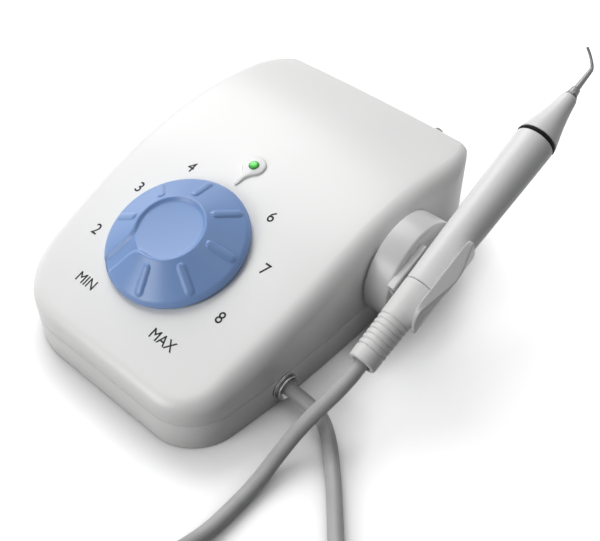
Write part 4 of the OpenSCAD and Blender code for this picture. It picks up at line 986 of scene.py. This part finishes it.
def cradle_loop():
    """Section of the trough and of the web that joins it to the disc; x right, y down."""
    web, low = DISC_X1 - HAND_AT.x - 0.3, 6.0
    start = math.pi - math.asin(low / JAW_OUT)
    corners = [(JAW_OUT * math.cos(a), JAW_OUT * math.sin(a), 0.5)
               for a in (math.radians(84) + (start - math.radians(84)) * k / 6 for k in range(7))]
    corners += [(web, low, 0.2), (web, -INNER_RISE, 0.2), (-CRADLE_IN, -INNER_RISE, 0.6)]
    corners += [(CRADLE_IN * math.cos(a), CRADLE_IN * math.sin(a), 0.4)
                for a in (math.pi - math.radians(96) * k / 8 for k in range(9))]
    return closed_loop(corners)


def lofted(stations, section, r):
    """Body of sections along the handset whose two ends are rounded."""
    loops = []
    for s in stations:
        near = min(s - stations[0], stations[-1] - s)
        loops.append([(p.x, p.y, s) for p in drawn_in(section(s), round_end(near, r))])
    return loft(loops)


def spaced(start, end, count, r):
    """Places along a body, close together at its rounded ends."""
    tight = [r * (1 - math.cos(math.radians(a))) for a in (0, 15, 30, 45, 60, 75)]
    middle = [start + r + (end - start - 2 * r) * i / count for i in range(count + 1)]
    return [start + d for d in tight] + middle + [end - d for d in reversed(tight)]


def make_holder():
    """Swivelling disc, with the trough and the outer jaw that carry the handpiece."""
    r, x0, x1 = DISC_R, DISC_X0 - HALF_W, DISC_X1 - HALF_W
    disc = lathe(rounded([(0, x0), (r, x0, 0.5), (r, x1, 1.2), (0, x1)]), 128).moved(on_pivot())
    disc_piece = piece("holder_disc", disc, finishes["disc"], "holder", 40)
    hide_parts("handpiece_holder")
    trough = cradle_loop()
    cradle = lofted(spaced(CRADLE_S0, CRADLE_S1, 10, END_R), lambda s: trough, END_R).moved(on_hand())
    piece("holder_cradle", cradle, finishes["trim"], "holder", 50)
    jaw = lofted(spaced(JAW_S0, JAW_S1, 60, END_R), jaw_loop, END_R).moved(on_hand())
    piece("holder_jaw", jaw, finishes["trim"], "holder", 50)
    dress("seal", "holder_washer")
    dress("steel", "holder_spring", "holder_pivot")


# Handset: profiles are radius and place along the handset, with a fillet where a third number is given

def connector_profile():
    """Connector with its cord hole, its grip grooves and the bore for its plug."""
    line = [(0, 1.3), (3.9, 1.3), (3.9, 0.3, 0.2), (4.2, 0.0, 0.2), (5.55, 0.0, 0.4), (5.93, 0.55, 0.3)]
    for i in range(GRIP_GROOVES):
        s = GROOVE_FROM + GROOVE_STEP * i
        skin = CONNECTOR_R + CONNECTOR_SWELL * s / CONNECTOR_L
        floor = skin - GROOVE_DEEP
        line += [(skin, s - 0.1, 0.2), (floor, s + 0.2, 0.12), (floor, s + 0.45, 0.12),
                 (skin + 0.03, s + 0.8, 0.25), (skin + 0.06, s + 1.6, 0.4)]
    line += [(6.8, 37.2, 0.2), (6.62, 37.65, 0.1), (4.65, CONNECTOR_L), (4.65, 24.0), (0, 24.0)]
    return rounded(line, 4)


def sleeve_profile():
    """Sleeve that swells from the joint to the grip ring, hollow for the drive inside."""
    line = [(4.65, 52.0), (4.65, 38.0), (6.55, 38.0), (6.74, 38.15), (6.8, 38.4)]
    start_r, swell, belly, start, length = 6.8, 1.85, 0.24, 38.4, 75.8
    for i in range(1, 33):
        t = i / 32
        line.append((start_r + swell * (t + belly * t * (1 - t)), start + length * t))
    line += [(8.6, 114.75), (8.4, 115.2), (7.45, 115.2), (7.45, 106.2), (6.0, 106.2), (6.0, 52.0)]
    return line


def nose_profile():
    """Nose that draws in from the grip ring to the tip."""
    line = [(6.7, 114.2), (6.7, 117.2), (8.35, 117.2), (8.52, 117.4)]
    curve = spline([(8.55, 117.6, 0), (7.75, 120.5, 0), (6.0, 127.0, 0), (4.66, 133.1, 0), (3.65, 139.2, 0),
                    (3.42, 140.3, 0)], 0.5)
    line += [(p.x, p.y) for p in curve]
    line += [(3.15, 140.6), (2.3, 140.6), (2.3, 130.2), (5.5, 115.2), (6.0, 114.2)]
    return line


def tip_path():
    """Middle line of the tip: straight, round its bend, then a gentle bow."""
    start, straight, bend_r, end = 145.6, 10.6, 3.1, 7.6
    bend, curl, turn = math.radians(50), math.radians(22), math.radians(45)
    line = [(0.0, start + straight * i / 10) for i in range(11)]
    line += [(bend_r * (1 - math.cos(bend * i / 14)), start + straight + bend_r * math.sin(bend * i / 14))
             for i in range(1, 15)]
    x0, s0 = line[-1]
    bow_r = end / curl
    line += [(x0 + bow_r * (math.cos(bend) - math.cos(bend + curl * i / 12)),
              s0 + bow_r * (math.sin(bend + curl * i / 12) - math.sin(bend))) for i in range(1, 13)]
    return [(-x * math.sin(turn), -x * math.cos(turn), s) for x, s in line]


def make_handset():
    """Turned pieces of the connector and the handpiece: name, profile, finish and body, and solid."""
    turned = [
        ("connector_shell", connector_profile(), "connector", "connector_body"),
        ("handpiece_body", sleeve_profile(), "handpiece", "handpiece_sleeve"),
        ("handpiece_nose", nose_profile(), "handpiece", "nose_cone"),
    ]
    for name, profile, body, node in turned:
        obj = piece(name, lathe(profile).moved(on_hand()), finishes[body], body, 45)
        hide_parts(node)
    dress("seal", "grip_ring", "plug_seal")
    dress("clear", "light_ring")
    dress("socket", "connector_plug")
    dress("steel", "transducer_horn", "back_mass")
    dress("ceramic", "piezo_stack")


def make_tip():
    """Bent tip that tapers to its point, and the collar with two flats for a wrench."""
    path = tip_path()
    n = len(path)
    shape = sweep(path, [POINT_R + (SHANK_R - POINT_R) * (1 - i / (n - 1)) ** 2 for i in range(n)], 24)
    profile = [(1.55, 142.0), (2.2, 142.0, 0.2), (2.4, 142.3, 0.2), (1.85, 145.6, 0.3), (1.1, 146.0),
               (1.1, 144.9), (1.55, 144.9)]
    collar = lathe(rounded(profile, 4), 64)
    collar.points = [Vector((p.x, clamp(p.y, -COLLAR_FLAT, COLLAR_FLAT), p.z)) for p in collar.points]
    shape.add(collar.points, collar.faces)
    tip = piece("working_tip", shape.moved(on_hand()), finishes["steel"], "handpiece", 40)
    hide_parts("scaling_tip")


# Cord

def coil_point(t):
    """Place on the coil after so many turns: inwards on the table, then outwards on top."""
    a = COIL_START - 2 * math.pi * t
    half = COIL_TURNS / 2
    r = COIL_IN_R + COIL_STEP * abs(t - half)
    return Vector((COIL_AT[0] + r * math.cos(a), COIL_AT[1] + r * math.sin(a),
                   COIL_LIFT + CORD_R + COIL_STEP * ease((t - half + CLIMB_TURNS / 2) / CLIMB_TURNS)))


def coil_line(per_turn=48):
    """Middle line of the coil, with a short straight stretch before and after it."""
    n = round(COIL_TURNS * per_turn)
    line = [coil_point(COIL_TURNS * i / n) for i in range(n + 1)]
    start, end = COIL_START, COIL_START - 2 * math.pi * COIL_TURNS
    line.insert(0, line[0] - COIL_END * Vector((math.sin(start), -math.cos(start), 0)))
    line.append(line[-1] + COIL_END * Vector((math.sin(end), -math.cos(end), 0)))
    return line


def cord_piece(name, line, look):
    """One length of the cord."""
    r = look.cord_diameter / MM / 2
    return piece(name, sweep(line, [r] * len(line), 20), finishes["cord"], sharp=60, in_part_frame=True)


def make_cord(look):
    """One cord in three lengths: on the table, rising towards the holder, and running on to the connector.
    """
    lead = [Vector(p) for p in LEAD_ROUTE]
    whole = spline([Vector(p) for p in RUN_ROUTE] + coil_line() + list(reversed(lead)), 1.6)

    def nearest(point):
        """Number of the point on the whole cord that is nearest to a place."""
        return min(range(len(whole)), key=lambda i: (whole[i] - Vector(point)).length)

    low, high = nearest(LEAD_ROUTE[RISE_FROM]), nearest(LEAD_ROUTE[RISE_TO])
    parts = [whole[:low + 1], whole[low:high + 1], whole[high:]]
    names = ["cord_on_table", "cord_rising", "cord_to_connector"]
    objs = [cord_piece(name, line, look) for name, line in zip(names, parts)]
    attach(objs[0], "base")
    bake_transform(objs[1])
    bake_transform(objs[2])
    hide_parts("cord_run", "cord_coil")
    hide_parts("cord_lead")
    dress("tie", "cord_tie")


def make_gland():
    """Flared ring round the cord where it leaves the right wall."""
    profile = [(0, 0.8), (3.55, 0.8), (3.75, 1.0, 0.1), (5.0, 2.4, 0.3), (5.45, 2.6, 0.2), (5.75, 2.2, 0.25),
               (5.75, 0.95, 0.1), (5.5, 0.8, 0.05), (5.55, 0.62, 0.05), (6.0, 0.62, 0.15), (6.2, 0.4, 0.15),
               (6.2, -1.1), (0, -1.1)]
    along_x = Matrix.Translation(GLAND_AT) @ Matrix.Rotation(math.pi / 2, 4, "Y")
    gland = piece("gland_ring", lathe(rounded(profile)).moved(along_x), finishes["bright"], "base", 45)
    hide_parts("cord_gland")
    dress("steel", "gland_nut")


# Rear and inside

def make_rear():
    """Rear panel and what it carries."""
    dress("panel", "rear_panel")
    dress("socket", "power_socket", "footswitch_socket")
    dress("bright", "water_inlet")


def make_inside():
    """Water valve and hose, board, transformer and cooler."""
    dress("brass", "solenoid_valve")
    dress("hose", "water_line")
    dress("laminate", "control_board")
    dress("steel", "board_screws")
    dress("ferrite", "transformer_core")
    dress("copper", "transformer_coil")
    dress("aluminium", "heat_sink")


# Studio

def lamp(name, at, diameter, power):
    """Round soft lamp, turned to the part."""
    data = bpy.data.lights.new(name, "AREA")
    data.shape = "DISK"
    data.size = diameter
    data.energy = power
    obj = bpy.data.objects.new(name, data)
    obj.location = at
    obj.rotation_euler = (Vector(LAMP_AIM) - Vector(at)).to_track_quat("-Z", "Y").to_euler()
    bpy.context.scene.collection.objects.link(obj)


def worked_out(tree, operation, first, second):
    """Result of a calculation on a node's value and a second value or number."""
    node = tree.nodes.new("ShaderNodeMath")
    node.operation = operation
    tree.links.new(first, node.inputs[0])
    if isinstance(second, float):
        node.inputs[1].default_value = second
    else:
        tree.links.new(second, node.inputs[1])
    return node.outputs[0]


def seen_or_lit(tree, seen, lit, output):
    """One shader for what is seen, straight or in a gloss, and another for the light that is thrown back."""
    path = tree.nodes.new("ShaderNodeLightPath").outputs
    direct = worked_out(tree, "MAXIMUM", path["Is Camera Ray"], path["Is Glossy Ray"])
    mix = tree.nodes.new("ShaderNodeMixShader")
    tree.links.new(worked_out(tree, "MAXIMUM", direct, path["Is Transmission Ray"]), mix.inputs["Fac"])
    tree.links.new(lit.outputs[0], mix.inputs[1])
    tree.links.new(seen.outputs[0], mix.inputs[2])
    tree.links.new(mix.outputs[0], output.inputs["Surface"])


def make_camera():
    """Camera where the photograph was taken from."""
    data = bpy.data.cameras.new("camera")
    data.sensor_fit = "HORIZONTAL"
    data.sensor_width = SENSOR_W
    data.lens = FOCAL_PX * SENSOR_W / PHOTO_WIDTH
    data.clip_start = 0.01
    obj = bpy.data.objects.new("camera", data)
    bpy.context.scene.collection.objects.link(obj)
    back = Vector((math.sin(AZIMUTH) * math.cos(ELEVATION), -math.cos(AZIMUTH) * math.cos(ELEVATION),
                   math.sin(ELEVATION)))
    at = (AIM + DISTANCE * back - ORIGIN) * MM
    obj.matrix_world = Matrix.Translation(at) @ back.to_track_quat("Z", "Y").to_matrix().to_4x4()
    bpy.context.scene.camera = obj


def make_world(look):
    """White surroundings that throw only a little light."""
    world = bpy.data.worlds.new("studio")
    world.use_nodes = True
    tree = world.node_tree
    white = tree.nodes["Background"]
    white.inputs["Color"].default_value = (1, 1, 1, 1)
    white.inputs["Strength"].default_value = 1.0
    dim = tree.nodes.new("ShaderNodeBackground")
    dim.inputs["Color"].default_value = (0.97, 0.98, 1.0, 1)
    dim.inputs["Strength"].default_value = look.ambient
    seen_or_lit(tree, white, dim, tree.nodes["World Output"])
    bpy.context.scene.world = world


def table_lift(tree, look):
    """White that is added to the table: full far away, less near the part, and least where pieces touch it,
    which paints a contact shadow there.
    """
    place = tree.nodes.new("ShaderNodeNewGeometry")
    away = tree.nodes.new("ShaderNodeVectorMath")
    away.operation = "LENGTH"
    tree.links.new(place.outputs["Position"], away.inputs[0])
    fade = tree.nodes.new("ShaderNodeMapRange")
    fade.inputs["From Min"].default_value = FADE_FROM
    fade.inputs["From Max"].default_value = FADE_TO
    fade.inputs["To Min"].default_value = look.floor_lift
    tree.links.new(away.outputs["Value"], fade.inputs["Value"])
    # Ambient occlusion lowers the added white near pieces: a painted contact shadow on the table
    corner = tree.nodes.new("ShaderNodeAmbientOcclusion")
    corner.inputs["Distance"].default_value = CONTACT_REACH
    contact_shadow_paint = worked_out(tree, "POWER", corner.outputs["AO"], CONTACT_DEPTH)
    lift = tree.nodes.new("ShaderNodeEmission")
    tree.links.new(worked_out(tree, "MULTIPLY", fade.outputs["Result"], contact_shadow_paint), lift.inputs["Strength"])
    return lift


def table_finish(look):
    """Matt white of the table, lifted where it is seen so that only the shadows stay grey, with a painted
    contact shadow near the pieces.
    """
    finish = bpy.data.materials.new("table_white")
    finish.use_nodes = True
    tree = finish.node_tree
    tree.nodes.clear()
    seen = tree.nodes.new("ShaderNodeBsdfDiffuse")
    seen.inputs["Color"].default_value = (TABLE_SEEN, TABLE_SEEN, TABLE_SEEN, 1)
    bounced = tree.nodes.new("ShaderNodeBsdfDiffuse")
    bounced.inputs["Color"].default_value = (TABLE_BOUNCE, TABLE_BOUNCE, TABLE_BOUNCE, 1)
    both = tree.nodes.new("ShaderNodeAddShader")
    tree.links.new(seen.outputs[0], both.inputs[0])
    tree.links.new(table_lift(tree, look).outputs[0], both.inputs[1])
    seen_or_lit(tree, both, bounced, tree.nodes.new("ShaderNodeOutputMaterial"))
    return finish


def make_stage(look):
    """Table, surroundings and lamps."""
    scene = bpy.context.scene
    scene.view_settings.view_transform = "Standard"
    make_world(look)
    mesh = bpy.data.meshes.new("table")
    h = TABLE_HALF
    mesh.from_pydata([(-h, -h, 0), (h, -h, 0), (h, h, 0), (-h, h, 0)], [], [[0, 1, 2, 3]])
    mesh.materials.append(table_finish(look))
    floor = bpy.data.objects.new("table", mesh)
    scene.collection.objects.link(floor)
    lamp("key", KEY_AT, KEY_D, look.key_power)
    lamp("top", TOP_AT, TOP_D, look.top_power)
    lamp("fill", FILL_AT, FILL_D, look.fill_power)


# Settings and operators

def size(name, words, default, low, high):
    """Setting for a length."""
    return FloatProperty(name=name, description=words, default=default, min=low, max=high,
                         subtype="DISTANCE", unit="LENGTH", precision=4)


def colour(name, words, rgb):
    """Setting for a colour, given as it looks on a screen."""
    return FloatVectorProperty(name=name, description=words, default=linear(rgb), size=3, min=0.0, max=1.0,
                               subtype="COLOR")


def power(name, words, default):
    """Setting for a lamp."""
    return FloatProperty(name=name, description=words, default=default, min=0.0, max=100.0,
                         subtype="POWER", unit="POWER")


def share(name, words, default):
    """Setting from nothing to one."""
    return FloatProperty(name=name, description=words, default=default, min=0.0, max=1.0, subtype="FACTOR")


class ScalerLook(PropertyGroup):
    """Colours and sizes of the scaler's finish."""

    shell_colour: colour("Cover", "Colour of the upper moulding", (240, 240, 239))
    tray_colour: colour("Tray", "Colour of the lower moulding", (240, 240, 239))
    trim_colour: colour("Holder and trim", "Colour of the holder and the indicator's trim", (228, 228, 228))
    # Holder's white darkened by painted shade, for the shade beside the case's right wall
    disc_colour_painted_shade: colour("Holder disc", "Colour of the swivelling disc", (208, 208, 208))
    dial_colour: colour("Dial", "Colour of the power dial", (124, 158, 212))
    handpiece_colour: colour("Handpiece", "Colour of the handpiece's body and nose", (226, 226, 226))
    connector_colour: colour("Connector", "Colour of the cord's connector", (222, 222, 221))
    cord_colour: colour("Cord", "Colour of the cord", (184, 184, 184))
    lens_colour: colour("Indicator", "Colour of the lit indicator", (62, 188, 62))
    cord_diameter: size("Cord diameter", "Thickness of the cord", 0.006, 0.005, 0.0064)


class ScalerStudio(PropertyGroup):
    """Light of the studio."""

    key_power: power("Key", "Power of the lamp over the back left", 8.9)
    top_power: power("Top", "Power of the lamp overhead", 1.9)
    fill_power: power("Fill", "Power of the lamp at the front left", 4.7)
    ambient: share("Ambient", "Strength of the light from all round", 0.08)
    floor_lift: share("Table lift", "White added to the table as it is seen", 0.58)


class ScalerOperator:
    """What the steps share: they can be undone and know the settings of the looks."""

    bl_options = {"REGISTER", "UNDO"}

    def look(self, context):
        """Settings of the looks."""
        return context.scene.scaler_look


class SCALER_OT_camera(ScalerOperator, Operator):
    """Set the camera where the photograph was taken from"""

    bl_idname = "scaler.camera"
    bl_label = "Camera"

    def execute(self, context):
        make_camera()
        return {"FINISHED"}


class SCALER_OT_finishes(ScalerOperator, Operator):
    """Mix the finishes that the pieces share"""

    bl_idname = "scaler.finishes"
    bl_label = "Finishes"

    def execute(self, context):
        make_finishes(self.look(context))
        return {"FINISHED"}


class SCALER_OT_cord(ScalerOperator, Operator):
    """Lay the cord from the gland over its coil to the connector"""

    bl_idname = "scaler.cord"
    bl_label = "Cord and gland"

    def execute(self, context):
        make_cord(self.look(context))
        make_gland()
        return {"FINISHED"}


class SCALER_OT_case(ScalerOperator, Operator):
    """Mould the case: cover, tray, feet and screws"""

    bl_idname = "scaler.case"
    bl_label = "Case"

    def execute(self, context):
        make_case()
        return {"FINISHED"}


class SCALER_OT_dial(ScalerOperator, Operator):
    """Mould the power dial with its keyhole recess and bars"""

    bl_idname = "scaler.dial"
    bl_label = "Power dial"

    def execute(self, context):
        make_dial()
        return {"FINISHED"}


class SCALER_OT_scale(ScalerOperator, Operator):
    """Print the dial's scale on the case"""

    bl_idname = "scaler.scale"
    bl_label = "Printed scale"

    def execute(self, context):
        make_scale()
        return {"FINISHED"}


class SCALER_OT_indicator(ScalerOperator, Operator):
    """Set the lit indicator in its trim"""

    bl_idname = "scaler.indicator"
    bl_label = "Indicator"

    def execute(self, context):
        make_indicator()
        return {"FINISHED"}


class SCALER_OT_holder(ScalerOperator, Operator):
    """Mould the swivelling holder: disc, cradle and outer jaw"""

    bl_idname = "scaler.holder"
    bl_label = "Handpiece holder"

    def execute(self, context):
        make_holder()
        return {"FINISHED"}


class SCALER_OT_handset(ScalerOperator, Operator):
    """Turn the connector, the handpiece's body and its nose"""

    bl_idname = "scaler.handset"
    bl_label = "Connector and handpiece"

    def execute(self, context):
        make_handset()
        return {"FINISHED"}


class SCALER_OT_tip(ScalerOperator, Operator):
    """Bend the working tip and its wrench collar"""

    bl_idname = "scaler.tip"
    bl_label = "Working tip"

    def execute(self, context):
        make_tip()
        return {"FINISHED"}


class SCALER_OT_rear(ScalerOperator, Operator):
    """Finish the rear panel and its sockets"""

    bl_idname = "scaler.rear"
    bl_label = "Rear panel"

    def execute(self, context):
        make_rear()
        return {"FINISHED"}


class SCALER_OT_inside(ScalerOperator, Operator):
    """Finish the board, the drive and the water valve inside"""

    bl_idname = "scaler.inside"
    bl_label = "Inside"

    def execute(self, context):
        make_inside()
        return {"FINISHED"}


class SCALER_OT_stage(ScalerOperator, Operator):
    """Set the white table and the soft studio light"""

    bl_idname = "scaler.stage"
    bl_label = "Stage"

    def execute(self, context):
        make_stage(context.scene.scaler_studio)
        return {"FINISHED"}


STEPS = [
    SCALER_OT_camera, SCALER_OT_finishes, SCALER_OT_cord, SCALER_OT_case, SCALER_OT_dial, SCALER_OT_scale,
    SCALER_OT_indicator, SCALER_OT_holder, SCALER_OT_handset, SCALER_OT_tip, SCALER_OT_rear,
    SCALER_OT_inside, SCALER_OT_stage,
]


class SCALER_PT_sidebar(Panel):
    """Steps and settings of the scaler"""

    bl_label = "Ultrasonic scaler"
    bl_idname = "SCALER_PT_sidebar"
    bl_space_type = "VIEW_3D"
    bl_region_type = "UI"
    bl_category = "Scaler"

    def draw(self, context):
        layout = self.layout
        for settings in (context.scene.scaler_look, context.scene.scaler_studio):
            box = layout.box()
            for name in settings.__annotations__:
                box.prop(settings, name)
        for step in STEPS:
            layout.operator(step.bl_idname)


CLASSES = [ScalerLook, ScalerStudio, *STEPS, SCALER_PT_sidebar]


def register():
    """Make the settings, the steps and the sidebar known."""
    for cls in CLASSES:
        bpy.utils.register_class(cls)
    bpy.types.Scene.scaler_look = PointerProperty(type=ScalerLook)
    bpy.types.Scene.scaler_studio = PointerProperty(type=ScalerStudio)


def unregister():
    """Take them out again."""
    del bpy.types.Scene.scaler_studio
    del bpy.types.Scene.scaler_look
    for cls in reversed(CLASSES):
        bpy.utils.unregister_class(cls)


def main():
    """All steps in order."""
    register()
    for step in STEPS:
        getattr(bpy.ops.scaler, step.bl_idname.split(".")[1])()
    bpy.context.view_layer.update()


if __name__ == "__main__":
    main()
